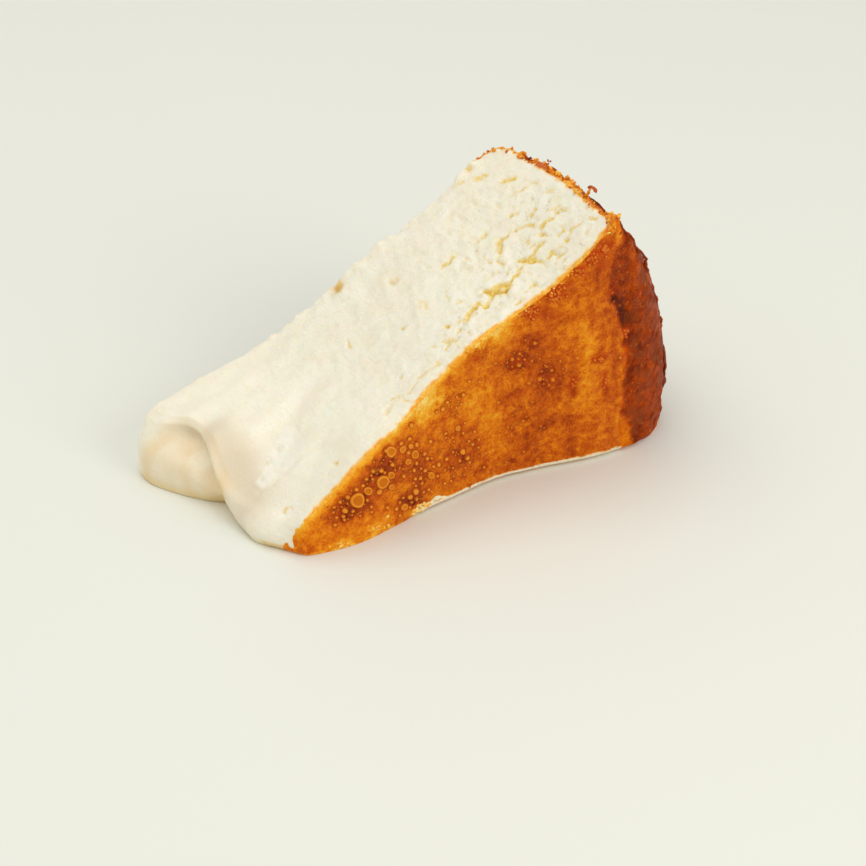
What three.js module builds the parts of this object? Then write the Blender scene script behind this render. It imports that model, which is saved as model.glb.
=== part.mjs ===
// A slice of burnt-top baked cheesecake, lying on one of its two cut faces. Millimetres, +Z up.
//
// The slice is a wedge of a round cake that has been tipped over. X runs from the wedge's tip to the cake's
// rim, Y from the cake's underside, which is the browned front face, to its burnt top, and Z from the lower
// cut face, which lies on the ground, to the upper one. The middle of the cake was hardly set, so the tip has
// run out into a soft nose with a rolled lip over a hollow.
//
// Every point of the skin is worked out from three shares between 0 and 1: "out", from the tip to the rim,
// "across", from the front face to the far face, and "up", from the lower cut face to the upper one.
import * as THREE from "three";
import { mergeVertices } from "three/addons/utils/BufferGeometryUtils.js";

// The cake it was cut from.
const CAKE_RADIUS = 100.5;
const CAKE_HEIGHT = 49.5;
const CUT_ANGLE = THREE.MathUtils.degToRad(36.7); // a tenth of the cake

// The rim: baked against paper, so it bulges a little, with worn corners.
const RIM_BULGE = 3.2; // halfway round the slice
const RIM_CROWN = 2; // halfway up the cake
const FRONT_FACE_END = 84; // the flat front face stops here, at a straight fold of the paper
const EDGE_ROUND = 1.6;
const FOLD_DEPTH_SHARE = 0.6; // how deep the worn front corner is, as a share of its width
const FAR_CORNER_ROUND = 6;
const CORNER_SHARES = { front: 0.24, far: 0.16 }; // shares of the grid's steps that go round each corner

// How far in from the tip the cake is soft, and how wide its nose is.
const SOFT_LENGTH = 34;
const NOSE_WIDTH = 54;

// Curves along the slice, as [X, value]. A lift is the height of the upper cut face above a flat cut.
const FRONT_LIFT = [
  [-6, 7.8], [4, 8.6], [18, 9], [30, 6.2], [44, 4.4], [56, 0.9], [66, -1.2], [80, 0.9], [101, 0],
];
const FAR_LIFT = [
  [-16, 24], [-10, 21.6], [-4, 18.4], [8, 12.4], [20, 7.2], [36, 4], [60, 2.6], [82, 0.4], [101, 0.8],
];
const FRONT_FOOT = [
  [-4, -0.8], [3, -2], [12, -2.8], [24, -0.8], [36, 1.1], [52, 3.2], [64, 1.8], [76, -0.4], [88, -1],
];
const FRONT_BROW = [
  [-4, -0.4], [6, -1.3], [20, -1.2], [34, 1.8], [48, 3], [64, 1.8], [78, -0.2], [92, 0],
];
const FAR_FACE = [[-14, 52.5], [-4, 54], [12, 54.5], [30, 54], [50, 52], [70, 50], [88, 49.4]];

// Curves across the nose, as [Y, value]. A reach is how far the cream has run out past a flat wedge's tip.
const FOOT_REACH = [
  [0, 0], [4.4, 2.8], [11, 6.8], [18, 5.6], [25, 3], [30, 8], [37, 13], [46, 16.8], [50, 16.4], [54, 12],
];
const LIP_REACH = [[0, 0.6], [11, 4.4], [19, 7], [25, 8.2], [34, 7.4], [42, 8.2], [48, 12], [54, 13]];
const HOLLOW_DEPTH = [[24, 0], [30, 5.2], [37, 5], [44, 2.6], [50, 0]];
const HOLLOW_HEIGHT = [[28, 0.55], [38, 0.72], [54, 0.78]]; // share of the nose's height
const HOLLOW_SPREAD = 0.3;
const NOSE_BELLY = 2;
const LIP_ROLL = 2.4;
const LIP_START = 0.86;
// Near the tip the upper face drops from its far part to its front part in one steep fold.
const FOLD = [[5, 0], [11, 0.06], [17, 0.18], [22, 0.4], [27, 0.8], [31, 1]];

const FOLD_FADE = [2, 34]; // X over which the fold gives way to an even twist
const FACE_TWIST = [-6, 50]; // Y over which the twisted face goes from its front lift to its far lift

// Relief: low waves in the cream, lumps in the browned rim and the crack that runs along the upper face.
const CREAM_WAVE = 0.25;
const RIM_LUMP = 0.8;
const CRACK_DEPTH = 1.1;
const CRACK_WIDTH = 1.6;
const CRACK_Y = [[24, 4.5], [28, 7.2], [38, 7.4], [46, 10], [57, 11.8], [61, 11.2], [67, 13.4], [74, 13.2]];
const CRACK_ENDS = [23, 75];

// Steps of the skin's grid along the three shares.
const STEPS = { out: 44, across: 28, up: 18 };

const CREAM = new THREE.MeshStandardMaterial({ color: 0xeee6cf, roughness: 0.45, metalness: 0 });

const { clamp, lerp, smoothstep } = THREE.MathUtils;

/** The slope of a curve at each of its knots, level where it turns, so that the curve never overshoots. */
function knotSlopes(knots) {
  const steps = knots.slice(1).map(([x, y], i) => (y - knots[i][1]) / (x - knots[i][0]));
  return knots.map((_, i) => {
    const before = steps[Math.max(i - 1, 0)];
    const after = steps[Math.min(i, steps.length - 1)];
    return before * after > 0 ? (2 * before * after) / (before + after) : 0;
  });
}

/** A smooth function through knots of [x, y], level beyond its ends. */
function curveThrough(knots) {
  const slopes = knotSlopes(knots);
  const last = knots.length - 2;
  return (x) => {
    const at = clamp(x, knots[0][0], knots[last + 1][0]);
    const i = Math.min(knots.filter(([knotX]) => knotX <= at).length - 1, last);
    const [x0, y0] = knots[i];
    const [x1, y1] = knots[i + 1];
    const h = x1 - x0;
    const t = (at - x0) / h;
    return (
      (1 + 2 * t) * (1 - t) ** 2 * y0 +
      t * (1 - t) ** 2 * h * slopes[i] +
      t * t * (3 - 2 * t) * y1 +
      t * t * (t - 1) * h * slopes[i + 1]
    );
  };
}

const frontLift = curveThrough(FRONT_LIFT);
const farLift = curveThrough(FAR_LIFT);
const frontFoot = curveThrough(FRONT_FOOT);
const frontBrow = curveThrough(FRONT_BROW);
const farFace = curveThrough(FAR_FACE);
const footReach = curveThrough(FOOT_REACH);
const lipReach = curveThrough(LIP_REACH);
const hollowDepth = curveThrough(HOLLOW_DEPTH);
const hollowHeight = curveThrough(HOLLOW_HEIGHT);
const fold = curveThrough(FOLD);
const crackY = curveThrough(CRACK_Y);

/** How far the nose reaches past the flat wedge's tip, at a place across it and a share of its height. */
function noseReach(y, up) {
  const slope = lerp(footReach(y), lipReach(y), Math.min(up / LIP_START, 1));
  const belly = NOSE_BELLY * Math.sin(Math.PI * Math.min(up / LIP_START, 1));
  const hollow = hollowDepth(y) * Math.exp(-(((up - hollowHeight(y)) / HOLLOW_SPREAD) ** 2) * 4);
  const roll = LIP_ROLL * smoothstep(up, LIP_START, 1);
  return slope + (belly - hollow - roll) * smoothstep(y, 0, 6);
}

/** The height of the upper cut face over a place on the ground, before its relief. */
function upperFace(x, y) {
  const share = lerp(fold(y), smoothstep(y, ...FACE_TWIST), smoothstep(x, ...FOLD_FADE));
  return x * Math.tan(CUT_ANGLE) + lerp(frontLift(x), farLift(x), share);
}

/** The rim's section: radius and depth from the front, at shares of the way across and of the cut angle. */
function rimSection(across, up) {
  const radius = CAKE_RADIUS + RIM_BULGE * Math.sin(Math.PI * up ** 0.8) ** 1.4;
  const worn = radius - EDGE_ROUND - FRONT_FACE_END / Math.cos(up * CUT_ANGLE);
  const width = EDGE_ROUND + Math.max(worn, 0);
  const depth = EDGE_ROUND + FOLD_DEPTH_SHARE * (width - EDGE_ROUND);
  const { front: frontShare, far: farShare } = CORNER_SHARES;
  const frontTurn = (Math.min(across / frontShare, 1) * Math.PI) / 2;
  const farTurn = (Math.max((across - 1 + farShare) / farShare, 0) * Math.PI) / 2;
  const crown = RIM_CROWN * Math.sin(Math.PI * across ** 1.3) ** 2;
  const straight = clamp((across - frontShare) / (1 - frontShare - farShare), 0, 1);
  return {
    radius: radius + crown - width * (1 - Math.sin(frontTurn)) - FAR_CORNER_ROUND * (1 - Math.cos(farTurn)),
    depth:
      depth * (1 - Math.cos(frontTurn)) +
      (CAKE_HEIGHT - depth - FAR_CORNER_ROUND) * straight +
      FAR_CORNER_ROUND * Math.sin(farTurn),
  };
}

/** Lumps of the browned rim: waves of three lengths that never line up. */
function rimLump(across, up) {
  const a = across * CAKE_HEIGHT;
  const b = up * CUT_ANGLE * CAKE_RADIUS;
  const sideways = Math.sin(a * 0.52 + 1.3 * Math.sin(b * 0.21));
  const upwards = Math.sin(b * 0.63 + 2 + 1.1 * Math.sin(a * 0.33));
  const slanting = Math.sin(a * 0.93 + b * 0.77) * Math.sin(b * 1.07 - a * 0.41);
  return RIM_LUMP * (0.4 * (sideways + upwards) + 0.35 * slanting);
}

/** Relief of the upper cut face: slow waves, and the crack near the front edge. */
function creamRelief(x, y) {
  const alongX = Math.sin(x * 0.31 + 1.7 * Math.sin(y * 0.17));
  const alongY = Math.sin(y * 0.38 + 0.9 * Math.sin(x * 0.23) + 1);
  const [start, end] = CRACK_ENDS;
  const open = smoothstep(x, start, start + 16) * (1 - smoothstep(x, end - 12, end));
  const crack = CRACK_DEPTH * open * Math.exp(-(((y - crackY(x)) / CRACK_WIDTH) ** 2));
  return CREAM_WAVE * alongX * alongY - crack;
}

/** The point of the skin at three shares: out from the tip, across from the front, up from the ground. */
function slicePoint(out, across, up) {
  const rim = rimSection(across, up);
  const radius = out * (rim.radius + rimLump(across, up) * Math.sin(Math.PI * across) ** 0.5);
  const nearRim = out ** 5;
  const share = lerp(across, rim.depth / CAKE_HEIGHT, nearRim);
  const soft = 1 - smoothstep(radius, 0, SOFT_LENGTH);

  const x = radius * Math.cos(up * CUT_ANGLE) - noseReach(share * NOSE_WIDTH, up) * soft;
  const front = lerp(frontFoot(x), frontBrow(x), up);
  const y = lerp(front, farFace(x), share);

  const topX = radius * Math.cos(CUT_ANGLE) - noseReach(share * NOSE_WIDTH, 1) * soft;
  const inside = Math.min(1, 4 * share, 8 * (1 - share), 8 * (1 - out));
  const lift = upperFace(topX, y) + inside * creamRelief(topX, y) - radius * Math.sin(CUT_ANGLE);
  return new THREE.Vector3(x, y, radius * Math.sin(up * CUT_ANGLE) + lift * up);
}

/** One side of the skin: a grid of quads, where place(u, v) gives the shares of a grid point. */
function sideTriangles(stepsU, stepsV, place, flip) {
  const at = (i, j) => slicePoint(...place(i / stepsU, j / stepsV)).toArray();
  const corners = [];
  for (let i = 0; i < stepsU; i++) {
    for (let j = 0; j < stepsV; j++) {
      const [a, b, c, d] = [at(i, j), at(i + 1, j), at(i + 1, j + 1), at(i, j + 1)];
      corners.push(...(flip ? [a, d, c, a, c, b] : [a, b, c, a, c, d]));
    }
  }
  return corners.flat();
}

/** The whole skin, closed: two cut faces, the front and far faces, the nose and the rim. */
function sliceGeometry() {
  const { out, across, up } = STEPS;
  const sides = [0, 1].flatMap((end) => [
    sideTriangles(out, across, (u, v) => [u, v, end], end === 0),
    sideTriangles(out, up, (u, v) => [u, end, v], end === 1),
    sideTriangles(across, up, (u, v) => [end, u, v], end === 0),
  ]);
  const soup = new THREE.BufferGeometry();
  soup.setAttribute("position", new THREE.Float32BufferAttribute(sides.flat(), 3));
  return mergeVertices(soup, 1e-3);
}

/** Moves a geometry so that the middle of its footprint is at the origin. */
function centreOnFootprint(geometry) {
  geometry.computeBoundingBox();
  const centre = geometry.boundingBox.getCenter(new THREE.Vector3());
  return geometry.translate(-centre.x, -centre.y, 0);
}

const slice = new THREE.Mesh(centreOnFootprint(sliceGeometry()), CREAM);
slice.name = "cheesecake_slice";
slice.geometry.computeVertexNormals();

const cheesecake = new THREE.Group();
cheesecake.name = "basque_cheesecake";
cheesecake.add(slice);

export default cheesecake;
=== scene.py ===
"""The looks of a slice of burnt-top baked cheesecake that lies on one of its cut faces.

The form is worked out in millimetres, in the slice's own frame: X from the wedge's molten tip to the
cake's rim, Y from the browned underside, which faces the camera, to the burnt top, and Z up from the
lower cut face. Each point of the skin has three shares between 0 and 1: "out" from tip to rim, "across"
from front to far face, and "up" from the lower to the upper cut face. Relief, colours and crumbs are
laid over that form.
"""

from math import cos, pi, radians, sin, tan

import bpy
import numpy as np
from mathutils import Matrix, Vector
from mathutils.bvhtree import BVHTree

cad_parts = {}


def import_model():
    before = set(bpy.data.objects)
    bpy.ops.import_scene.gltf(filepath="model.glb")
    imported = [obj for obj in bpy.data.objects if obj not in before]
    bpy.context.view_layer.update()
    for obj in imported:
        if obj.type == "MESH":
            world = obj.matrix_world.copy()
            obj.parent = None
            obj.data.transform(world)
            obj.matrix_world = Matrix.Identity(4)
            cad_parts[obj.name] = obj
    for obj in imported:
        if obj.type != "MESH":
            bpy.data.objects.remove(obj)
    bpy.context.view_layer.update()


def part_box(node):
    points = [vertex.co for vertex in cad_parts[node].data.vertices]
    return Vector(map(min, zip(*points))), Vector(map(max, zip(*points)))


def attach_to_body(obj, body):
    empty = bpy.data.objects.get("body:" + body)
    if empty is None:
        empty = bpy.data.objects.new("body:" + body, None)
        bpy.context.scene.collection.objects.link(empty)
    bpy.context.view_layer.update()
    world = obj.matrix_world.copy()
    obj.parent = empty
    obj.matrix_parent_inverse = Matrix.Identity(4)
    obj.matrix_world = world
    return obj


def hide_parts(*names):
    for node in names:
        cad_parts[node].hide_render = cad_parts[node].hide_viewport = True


NODE = "cheesecake_slice"
BODY = "root"
MM = 0.001
SEED = 7

# ---- The slice's sizes, the same as the solid's ----
CAKE_RADIUS = 100.5
CAKE_HEIGHT = 49.5
CUT_ANGLE = radians(36.7)
RIM_BULGE = 3.2
RIM_CROWN = 2.0
FRONT_FACE_END = 84.0
EDGE_ROUND = 1.6
FOLD_DEPTH_SHARE = 0.6
FAR_CORNER_ROUND = 6.0
FRONT_CORNER_SHARE = 0.24
FAR_CORNER_SHARE = 0.16
SOFT_LENGTH = 34.0
NOSE_WIDTH = 54.0
FOLD_FADE = (2, 34)
FACE_TWIST = (-6, 50)

# ---- Curves of the form, as knots: cut face, foot and brow over x, nose and its hollow over y ----
FRONT_LIFT = [
    (-6, 7.8), (4, 8.6), (18, 9), (30, 6.2), (44, 4.4), (56, 0.9), (66, -1.2), (80, 0.9), (101, 0),
]
FAR_LIFT = [
    (-16, 24), (-10, 21.6), (-4, 18.4), (8, 12.4), (20, 7.2), (36, 4), (60, 2.6), (82, 0.4), (101, 0.8),
]
FRONT_FOOT = [
    (-4, -0.8), (3, -2), (12, -2.8), (24, -0.8), (36, 1.1), (52, 3.2), (64, 1.8), (76, -0.4), (88, -1),
]
FRONT_BROW = [(-4, -0.4), (6, -1.3), (20, -1.2), (34, 1.8), (48, 3), (64, 1.8), (78, -0.2), (92, 0)]
FAR_FACE = [(-14, 52.5), (-4, 54), (12, 54.5), (30, 54), (50, 52), (70, 50), (88, 49.4)]
FOOT_REACH = [
    (0, 0), (4.4, 2.8), (11, 6.8), (18, 5.6), (25, 3), (30, 8), (37, 13), (46, 16.8), (50, 16.4),
    (54, 12),
]
LIP_REACH = [(0, 0.6), (11, 4.4), (19, 7), (25, 8.2), (34, 7.4), (42, 8.2), (48, 12), (54, 13)]
HOLLOW_DEPTH = [(24, 0), (30, 5.2), (37, 5), (44, 2.6), (50, 0)]
HOLLOW_HEIGHT = [(28, 0.55), (38, 0.72), (54, 0.78)]
HOLLOW_SPREAD = 0.3
NOSE_BELLY = 2.0
LIP_ROLL = 2.4
LIP_START = 0.86
NOSE_START = (0, 6)
DEPTH_POWER = 5
FOLD = [(5, 0), (11, 0.06), (17, 0.18), (22, 0.4), (27, 0.8), (31, 1)]

# ---- The skin's fine grid: steps out, across and up, closer together near the front ----
STEPS = (200, 104, 92)
GROUND_PLAN, FRONT_VIEW = (0, 1), (0, 2)  # the axes of marks on the cut face and on the front face
FRONT_STEP = 0.45
ATLAS_WIDTH, ATLAS_HEIGHT = 200, 134

# ---- The torn crack and the pits of the upper cut face, in mm on the ground plan ----
TEARS = [  # half width, strength, path of x, y
    (0.69, 0.8, [(48.9, 11.1), (50.6, 12.1), (52.0, 13.0), (53.2, 12.6)]),
    (0.69, 1.0, [(56.3, 14.2), (56.8, 12.4), (57.8, 12.3)]),
    (0.35, 0.8, [(53.1, 12.3), (53.7, 10.8), (55.1, 11.3), (56.4, 12.1)]),
    (0.69, 1.0, [(58.0, 13.5), (59.3, 12.5), (60.1, 10.9)]),
    (0.32, 1.1, [(57.4, 11.6), (58.8, 10.9), (60.2, 10.7)]), (0.28, 0.6, [(60.5, 11.2), (61.7, 12.2)]),
    (0.46, 0.75, [(62.0, 12.3), (63.3, 12.6), (64.3, 12.9)]),
    (0.6, 1.0, [(65.0, 14.9), (65.9, 13.4), (67.0, 11.8)]),
    (0.41, 0.8, [(67.0, 13.6), (67.9, 13.3), (68.9, 13.2)]), (0.51, 0.8, [(69.0, 13.4), (70.6, 13.4)]),
    (0.32, 0.75, [(63.8, 20.7), (64.9, 22.3)]), (0.55, 0.75, [(64.9, 23.2), (65.7, 23.3)]),
    (0.35, 0.8, [(66.1, 23.0), (68.0, 23.5)]), (0.3, 0.6, [(68.0, 23.5), (69.1, 22.7)]),
    (0.3, 0.6, [(69.6, 22.7), (70.7, 21.0), (71.6, 19.5)]),
    (0.51, 0.75, [(72.5, 17.1), (73.3, 16.8), (74.3, 15.9)]), (0.41, 0.6, [(75.6, 18.4), (76.3, 17.8)]),
    (0.39, 0.5, [(76.8, 17.3), (76.7, 15.6), (77.2, 15.0)]),
    (0.39, 0.55, [(73.1, 11.2), (73.8, 11.1), (74.3, 12.1)]), (0.46, 0.5, [(75.2, 9.2), (76.5, 7.5)]),
    (0.28, 0.35, [(75.0, 8.7), (73.6, 8.3), (72.8, 8.2)]), (0.37, 0.5, [(71.3, 15.6), (71.8, 14.0)]),
    (0.46, 0.5, [(68.6, 17.7), (68.5, 16.6)]), (0.46, 0.45, [(68.5, 9.6), (69.2, 9.1), (69.8, 9.7)]),
    (0.37, 0.35, [(69.7, 7.0), (71.2, 6.5)]), (0.3, 0.3, [(70.8, 8.8), (71.9, 8.0)]),
    (0.46, 0.6, [(63.6, 28.9), (64.6, 29.1)]), (0.46, 0.85, [(54.1, 30.1), (55.1, 29.9), (55.6, 29.4)]),
    (0.46, 0.45, [(56.6, 30.2), (57.6, 30.0)]), (0.37, 0.45, [(61.2, 20.2), (61.0, 20.9)]),
    (0.35, 0.3, [(62.7, 20.2), (63.3, 19.8)]), (0.32, 0.5, [(61.5, 14.9), (61.5, 14.4)]),
    (0.32, 0.35, [(62.3, 6.1), (63.4, 6.2)]), (0.55, 0.4, [(58.0, 5.1), (58.9, 4.8)]),
    (0.55, 0.85, [(74.7, 36.8), (75.5, 36.3), (76.6, 35.0)]), (0.35, 0.5, [(73.6, 31.1), (74.5, 30.8)]),
    (0.37, 0.5, [(75.1, 30.1), (76.5, 29.8)]), (0.69, 0.5, [(72.3, 49.7), (72.9, 47.9)]),
    (0.69, 0.35, [(71.6, 44.5), (72.7, 43.3)]), (0.37, 0.5, [(73.5, 43.6), (73.8, 42.8)]),
    (0.69, 0.4, [(68.7, 47.3), (69.8, 46.9)]), (0.37, 0.6, [(78.6, 6.8), (78.3, 5.9), (78.8, 4.6)]),
    (0.46, 0.3, [(78.0, 23.3), (79.1, 21.7)]), (0.37, 0.35, [(70.8, 26.6), (71.6, 25.9)]),
    (0.65, 0.35, [(24.7, 5.2), (25.3, 5.8), (26.7, 6.4), (29.1, 6.6)]),
    (0.35, 0.45, [(27.2, 8.2), (29.1, 7.1)]), (0.5, 0.35, [(30.7, 6.3), (33.2, 6.1)]),
    (0.6, 0.38, [(34.2, 7.3), (36.2, 7.2), (38.6, 6.6)]), (0.37, 0.5, [(28.9, 4.9), (29.7, 2.8)]),
    (0.37, 0.3, [(45.8, 26.5), (46.2, 25.2), (45.6, 22.5)]), (0.35, 0.12, [(45.6, 25.7), (44.4, 23.6)]),
    (0.32, 0.45, [(31.2, 34.6), (30.6, 32.3)]), (0.37, 0.75, [(45.7, 10.0), (46.4, 9.9)]),
    (0.37, 0.55, [(45.4, 13.8), (45.2, 13.1)]), (0.51, 0.55, [(42.8, 10.4), (43.8, 9.1), (43.7, 8.1)]),
    (0.35, 0.4, [(41.7, 8.2), (42.4, 8.0)]), (0.32, 0.4, [(40.4, 11.3), (41.0, 10.6)]),
    (0.46, 0.3, [(50.6, 17.3), (51.2, 16.9)]), (0.37, 0.25, [(50.7, 24.0), (49.6, 20.0)]),
    (0.46, 0.4, [(47.5, 12.2), (48.7, 12.0)]), (0.28, 0.4, [(32.9, 3.9), (34.0, 2.8)]),
    (0.28, 0.5, [(11.1, 5.7), (11.4, 4.8)]), (0.46, 0.5, [(-1.2, 6.6), (-0.2, 6.9), (0.4, 6.2)]),
]
PITS = [  # x, y, half length along x, half length along y, depth
    (38.6, 52.0, 1.3, 1.6, 0.9), (46.1, 38.6, 0.9, 1.3, 0.6), (39.7, 24.1, 0.6, 0.6, 1.0),
    (32.3, 12.0, 0.5, 0.6, 0.9), (80.3, 16.5, 0.35, 0.35, 0.8), (79.7, 9.5, 0.3, 0.5, 0.8),
    (0.1, 5.2, 0.35, 0.3, 0.5), (58.4, 5.0, 0.7, 0.6, 0.3), (6.8, 23.4, 0.45, 0.45, 0.45),
    (5.1, 20.8, 0.55, 0.45, 0.6), (3.9, 16.8, 0.4, 0.4, 0.4), (-0.3, 18.0, 0.45, 0.4, 0.5),
    (2.0, 19.9, 0.9, 0.3, 0.5), (48.6, 53.4, 0.6, 0.6, 0.8), (63.2, 41.0, 0.6, 0.9, 0.35),
    (73.0, 44.0, 1.2, 1.4, 0.3), (8.9, 4.1, 0.3, 0.4, 0.5), (10.7, 6.2, 0.4, 0.3, 0.4),
]
# ---- A pale wet pool of cream near the tip, as ovals on the ground plan: x, y, half lengths ----
POOL = [
    (8.3, 21.4, 2.4, 2.6), (7.2, 17.6, 2.2, 2.8), (4.6, 18.0, 2.4, 3.4), (1.4, 17.4, 2.2, 2.4),
    (-0.6, 17.0, 1.2, 1.6),
]
# ---- The edge of the layer of cream that has slid towards the tip ----
LAYER_EDGE = [(-2, 15.6), (0.1, 15), (3.7, 14.4), (6.8, 14.4), (9.2, 13.6), (12, 12.6)]
# ---- Caramel stains on the upper cut face: x, y, half length along x, half length along y, strength ----
STAINS = [(38, 52, 1.3, 1.8, 1.0), (45.7, 38.4, 0.7, 1.3, 0.7)]
# ---- The smooth slope between the hollow's lip and the pool, with painted shade on it: path of x, y ----
SLOPE_PATH = [(-4.4, 36), (-3.6, 29), (-3, 23), (-4.6, 16)]
# ---- Painted highlights: crisp pale lines along the hollow's lip and the bulge's edge, on the nose: y, z ----
HIGHLIGHT_LINES = [
    [(49.9, 12.6), (45.5, 14.1), (40.6, 15.0), (36, 14.9)],
    [(24.4, 9.8), (21.8, 7.7), (19, 6.1), (15.4, 4.5), (12, 3.2)],
]

# ---- The browned front face: patches of toasting as x, z, half width, half height, strength ----
PATCHES = [
    (56, 30.5, 3.6, 2.6, 0.16), (60.5, 34, 3, 3, 0.12), (64, 27, 6, 5, 0.12), (66, 21, 6, 3, 0.1),
    (62, 8, 3.4, 4.4, 0.13), (58, 3.5, 4, 2, 0.09), (66.5, 12, 4, 2.4, 0.1), (71.4, 21.5, 1.0, 2.8, 0.12),
    (78, 47, 4.5, 4.5, 0.12), (81.5, 43, 2.2, 3, 0.16), (86, 34, 2.2, 4.2, 0.16), (87, 27, 2.2, 3, 0.1),
    (65.5, 46, 3.2, 1.6, 0.14), (60, 42, 3, 1.6, 0.12), (54, 22, 4, 2, 0.1), (75.5, 55, 4.5, 2, 0.1),
    (13, 10.8, 6, 2.8, 0.1), (20, 16.5, 5.5, 3, 0.1), (30, 13, 5, 5, 0.07), (27.5, 4.6, 4.2, 2.6, 0.12),
    (41, 12, 4, 4, 0.08), (57, 15, 2, 4, 0.08), (73, 4, 6, 4, 0.06), (78, 27.5, 3.2, 1.1, 0.12),
    (32.5, 27, 6, 3.4, -0.24), (51, 14, 3, 8, -0.1), (51, 38, 6, 2, -0.12), (73.5, 34, 2.4, 10, -0.1),
    (77.5, 12, 3.2, 6, -0.1), (80, 24, 2, 7, -0.04), (47, 22, 5, 5, -0.06), (2, 4, 4, 3, -0.06),
    (10, 8.4, 2.6, 1.6, 0.08), (15, 8.8, 2.2, 1.4, 0.07), (20, 16.8, 3, 1.4, 0.09),
    (22.8, 12.4, 1.6, 1.2, 0.09), (30.4, 3.6, 1.4, 1.2, 0.18), (30.4, 7, 1.4, 2.4, 0.11),
    (25.4, 5, 2.6, 1.4, 0.08), (27.4, 13.6, 1.8, 1.2, 0.08), (32.4, 9.6, 1.6, 1.0, 0.08),
    (43.4, 10.4, 2.4, 1.6, 0.1), (30.8, 14, 1, 2, 0.08), (25, 8.4, 4, 1.8, -0.09), (38, 23, 3, 1.6, 0.08),
    (42, 26, 1.6, 1.2, 0.08), (61.5, 12.4, 0.8, 3, 0.08), (67, 45.8, 1.6, 1.2, 0.12),
    (8.8, 1.0, 2.4, 0.9, -0.26), (18, 2.0, 2.8, 1.2, -0.26), (30, 1.6, 2.4, 0.8, -0.36),
    (81.5, 56, 2, 2.4, -0.26),
]
# ---- Fine lines on the front face: from x, z, to x, z, half width, toast, height ----
# their toast is partly the skin's own tone, partly painted shade in the sunken lines and painted highlight
# on the raised ones
WRINKLES = [
    (65.2, 38.2, 69.2, 38.6, 0.4, 0.14, -0.3), (69.8, 39.2, 72.6, 38.6, 0.34, 0.02, 0.35),
    (64, 41.6, 67, 40.4, 0.9, 0.11, -0.2), (56.2, 28.3, 59, 28.2, 0.4, -0.09, 0.3),
    (60.6, 25, 61.6, 28, 0.42, -0.13, 0.35), (64, 26.2, 67, 25, 0.7, 0.1, -0.2),
    (71, 23, 71.6, 18.6, 0.62, 0.18, -0.35), (75, 26, 80.5, 27.4, 0.6, 0.17, 0.1),
    (79.2, 23, 79.6, 16.4, 0.5, 0.13, -0.25), (59.8, 12.5, 60, 6.5, 0.4, 0.12, -0.3),
    (57.6, 14.8, 58.6, 12, 0.36, 0.09, -0.2), (53, 20.8, 56.4, 22.6, 0.6, 0.12, -0.2),
    (82.4, 13, 83.8, 12, 0.6, 0.14, 0), (62.4, 12.4, 64, 13.4, 0.4, -0.07, 0.25),
    (65, 12.6, 66.4, 11.8, 0.5, 0.11, -0.2), (75, 37, 75.6, 36.2, 0.5, 0.17, -0.2),
    (59, 36.6, 60.6, 35.2, 0.7, 0.14, -0.2), (54.2, 29.6, 56, 29, 0.8, 0.17, -0.25),
    (76, 50, 76.8, 44, 0.5, 0.07, -0.25), (73, 33, 73.4, 25, 0.5, 0.07, -0.2),
    (78.4, 38, 78.8, 31, 0.5, 0.04, -0.15), (70.4, 16, 70.8, 6, 0.5, 0.06, -0.2),
    (52, 15, 52.6, 6, 0.5, 0.04, -0.15), (66, 30, 66.4, 35, 0.5, 0.04, -0.12),
    (47, 35, 49.5, 35.6, 0.5, -0.18, 0.25), (46.5, 37.6, 48.4, 37, 0.4, -0.18, 0.2),
    (56.2, 4, 57.4, 4.4, 0.8, 0.11, 0),
]
# ---- Reddish spots on the base and the rim: x, z, half width, half height, strength ----
RED_SPOTS = [
    (60.4, 42.6, 2.4, 1.5, 0.95), (66.4, 45.9, 2.2, 1.9, 1.1), (71.7, 50.9, 2.0, 1.4, 0.8),
    (74.6, 53.2, 1.9, 1.3, 1.0), (78.4, 54.8, 2.2, 1.6, 1.0), (64.2, 42.2, 1.4, 1.1, 0.6),
    (69.4, 47.4, 1.2, 0.8, 0.5), (77.6, 51, 1.8, 1.0, 0.5), (77.6, 26.8, 2.2, 0.6, 1.0),
    (79.2, 20, 0.6, 3.0, 0.8), (71.1, 21, 0.7, 2.2, 0.9), (75.3, 36.6, 0.7, 0.6, 0.8),
    (80.4, 42.8, 1.0, 1.0, 0.8), (84.8, 31.2, 0.9, 2.0, 0.8), (84.5, 26.4, 0.8, 1.6, 0.6),
    (90, 21, 0.6, 1.4, 0.7), (92.2, 12.4, 0.8, 0.9, 0.7), (93, 7.6, 0.7, 1.0, 0.6),
    (84.4, 12, 0.6, 2.6, 0.5), (88.4, 40, 1.0, 0.8, 0.4), (47, 34.5, 1.2, 0.9, 0.7),
    (56, 37.5, 1.4, 0.8, 0.5), (66, 33, 1.6, 0.5, 0.4), (58, 22, 2.0, 0.8, 0.4), (67, 40, 2.6, 0.5, 0.4),
    (62, 27, 1.6, 1.0, 0.5), (65, 24, 1.6, 0.8, 0.5), (57, 30, 1.8, 1.2, 0.5),
]
FEWEST_BUMPS = 5  # a spot with fewer bumps stays without
# ---- The line where the base folds into the rim: z, x ----
FOLD_LINE = [
    (0, 87.5), (5, 86), (10, 84), (20, 84.4), (30, 84), (37, 81.2), (42.5, 79.8), (49, 80), (56, 81.8),
]
# ---- The crease along that fold, a groove with painted shade in it: x, z ----
CREASE = [(79.6, 46.5), (80.4, 43), (81.8, 40), (83.8, 36.2), (84.7, 31.6), (84.6, 28)]
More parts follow.
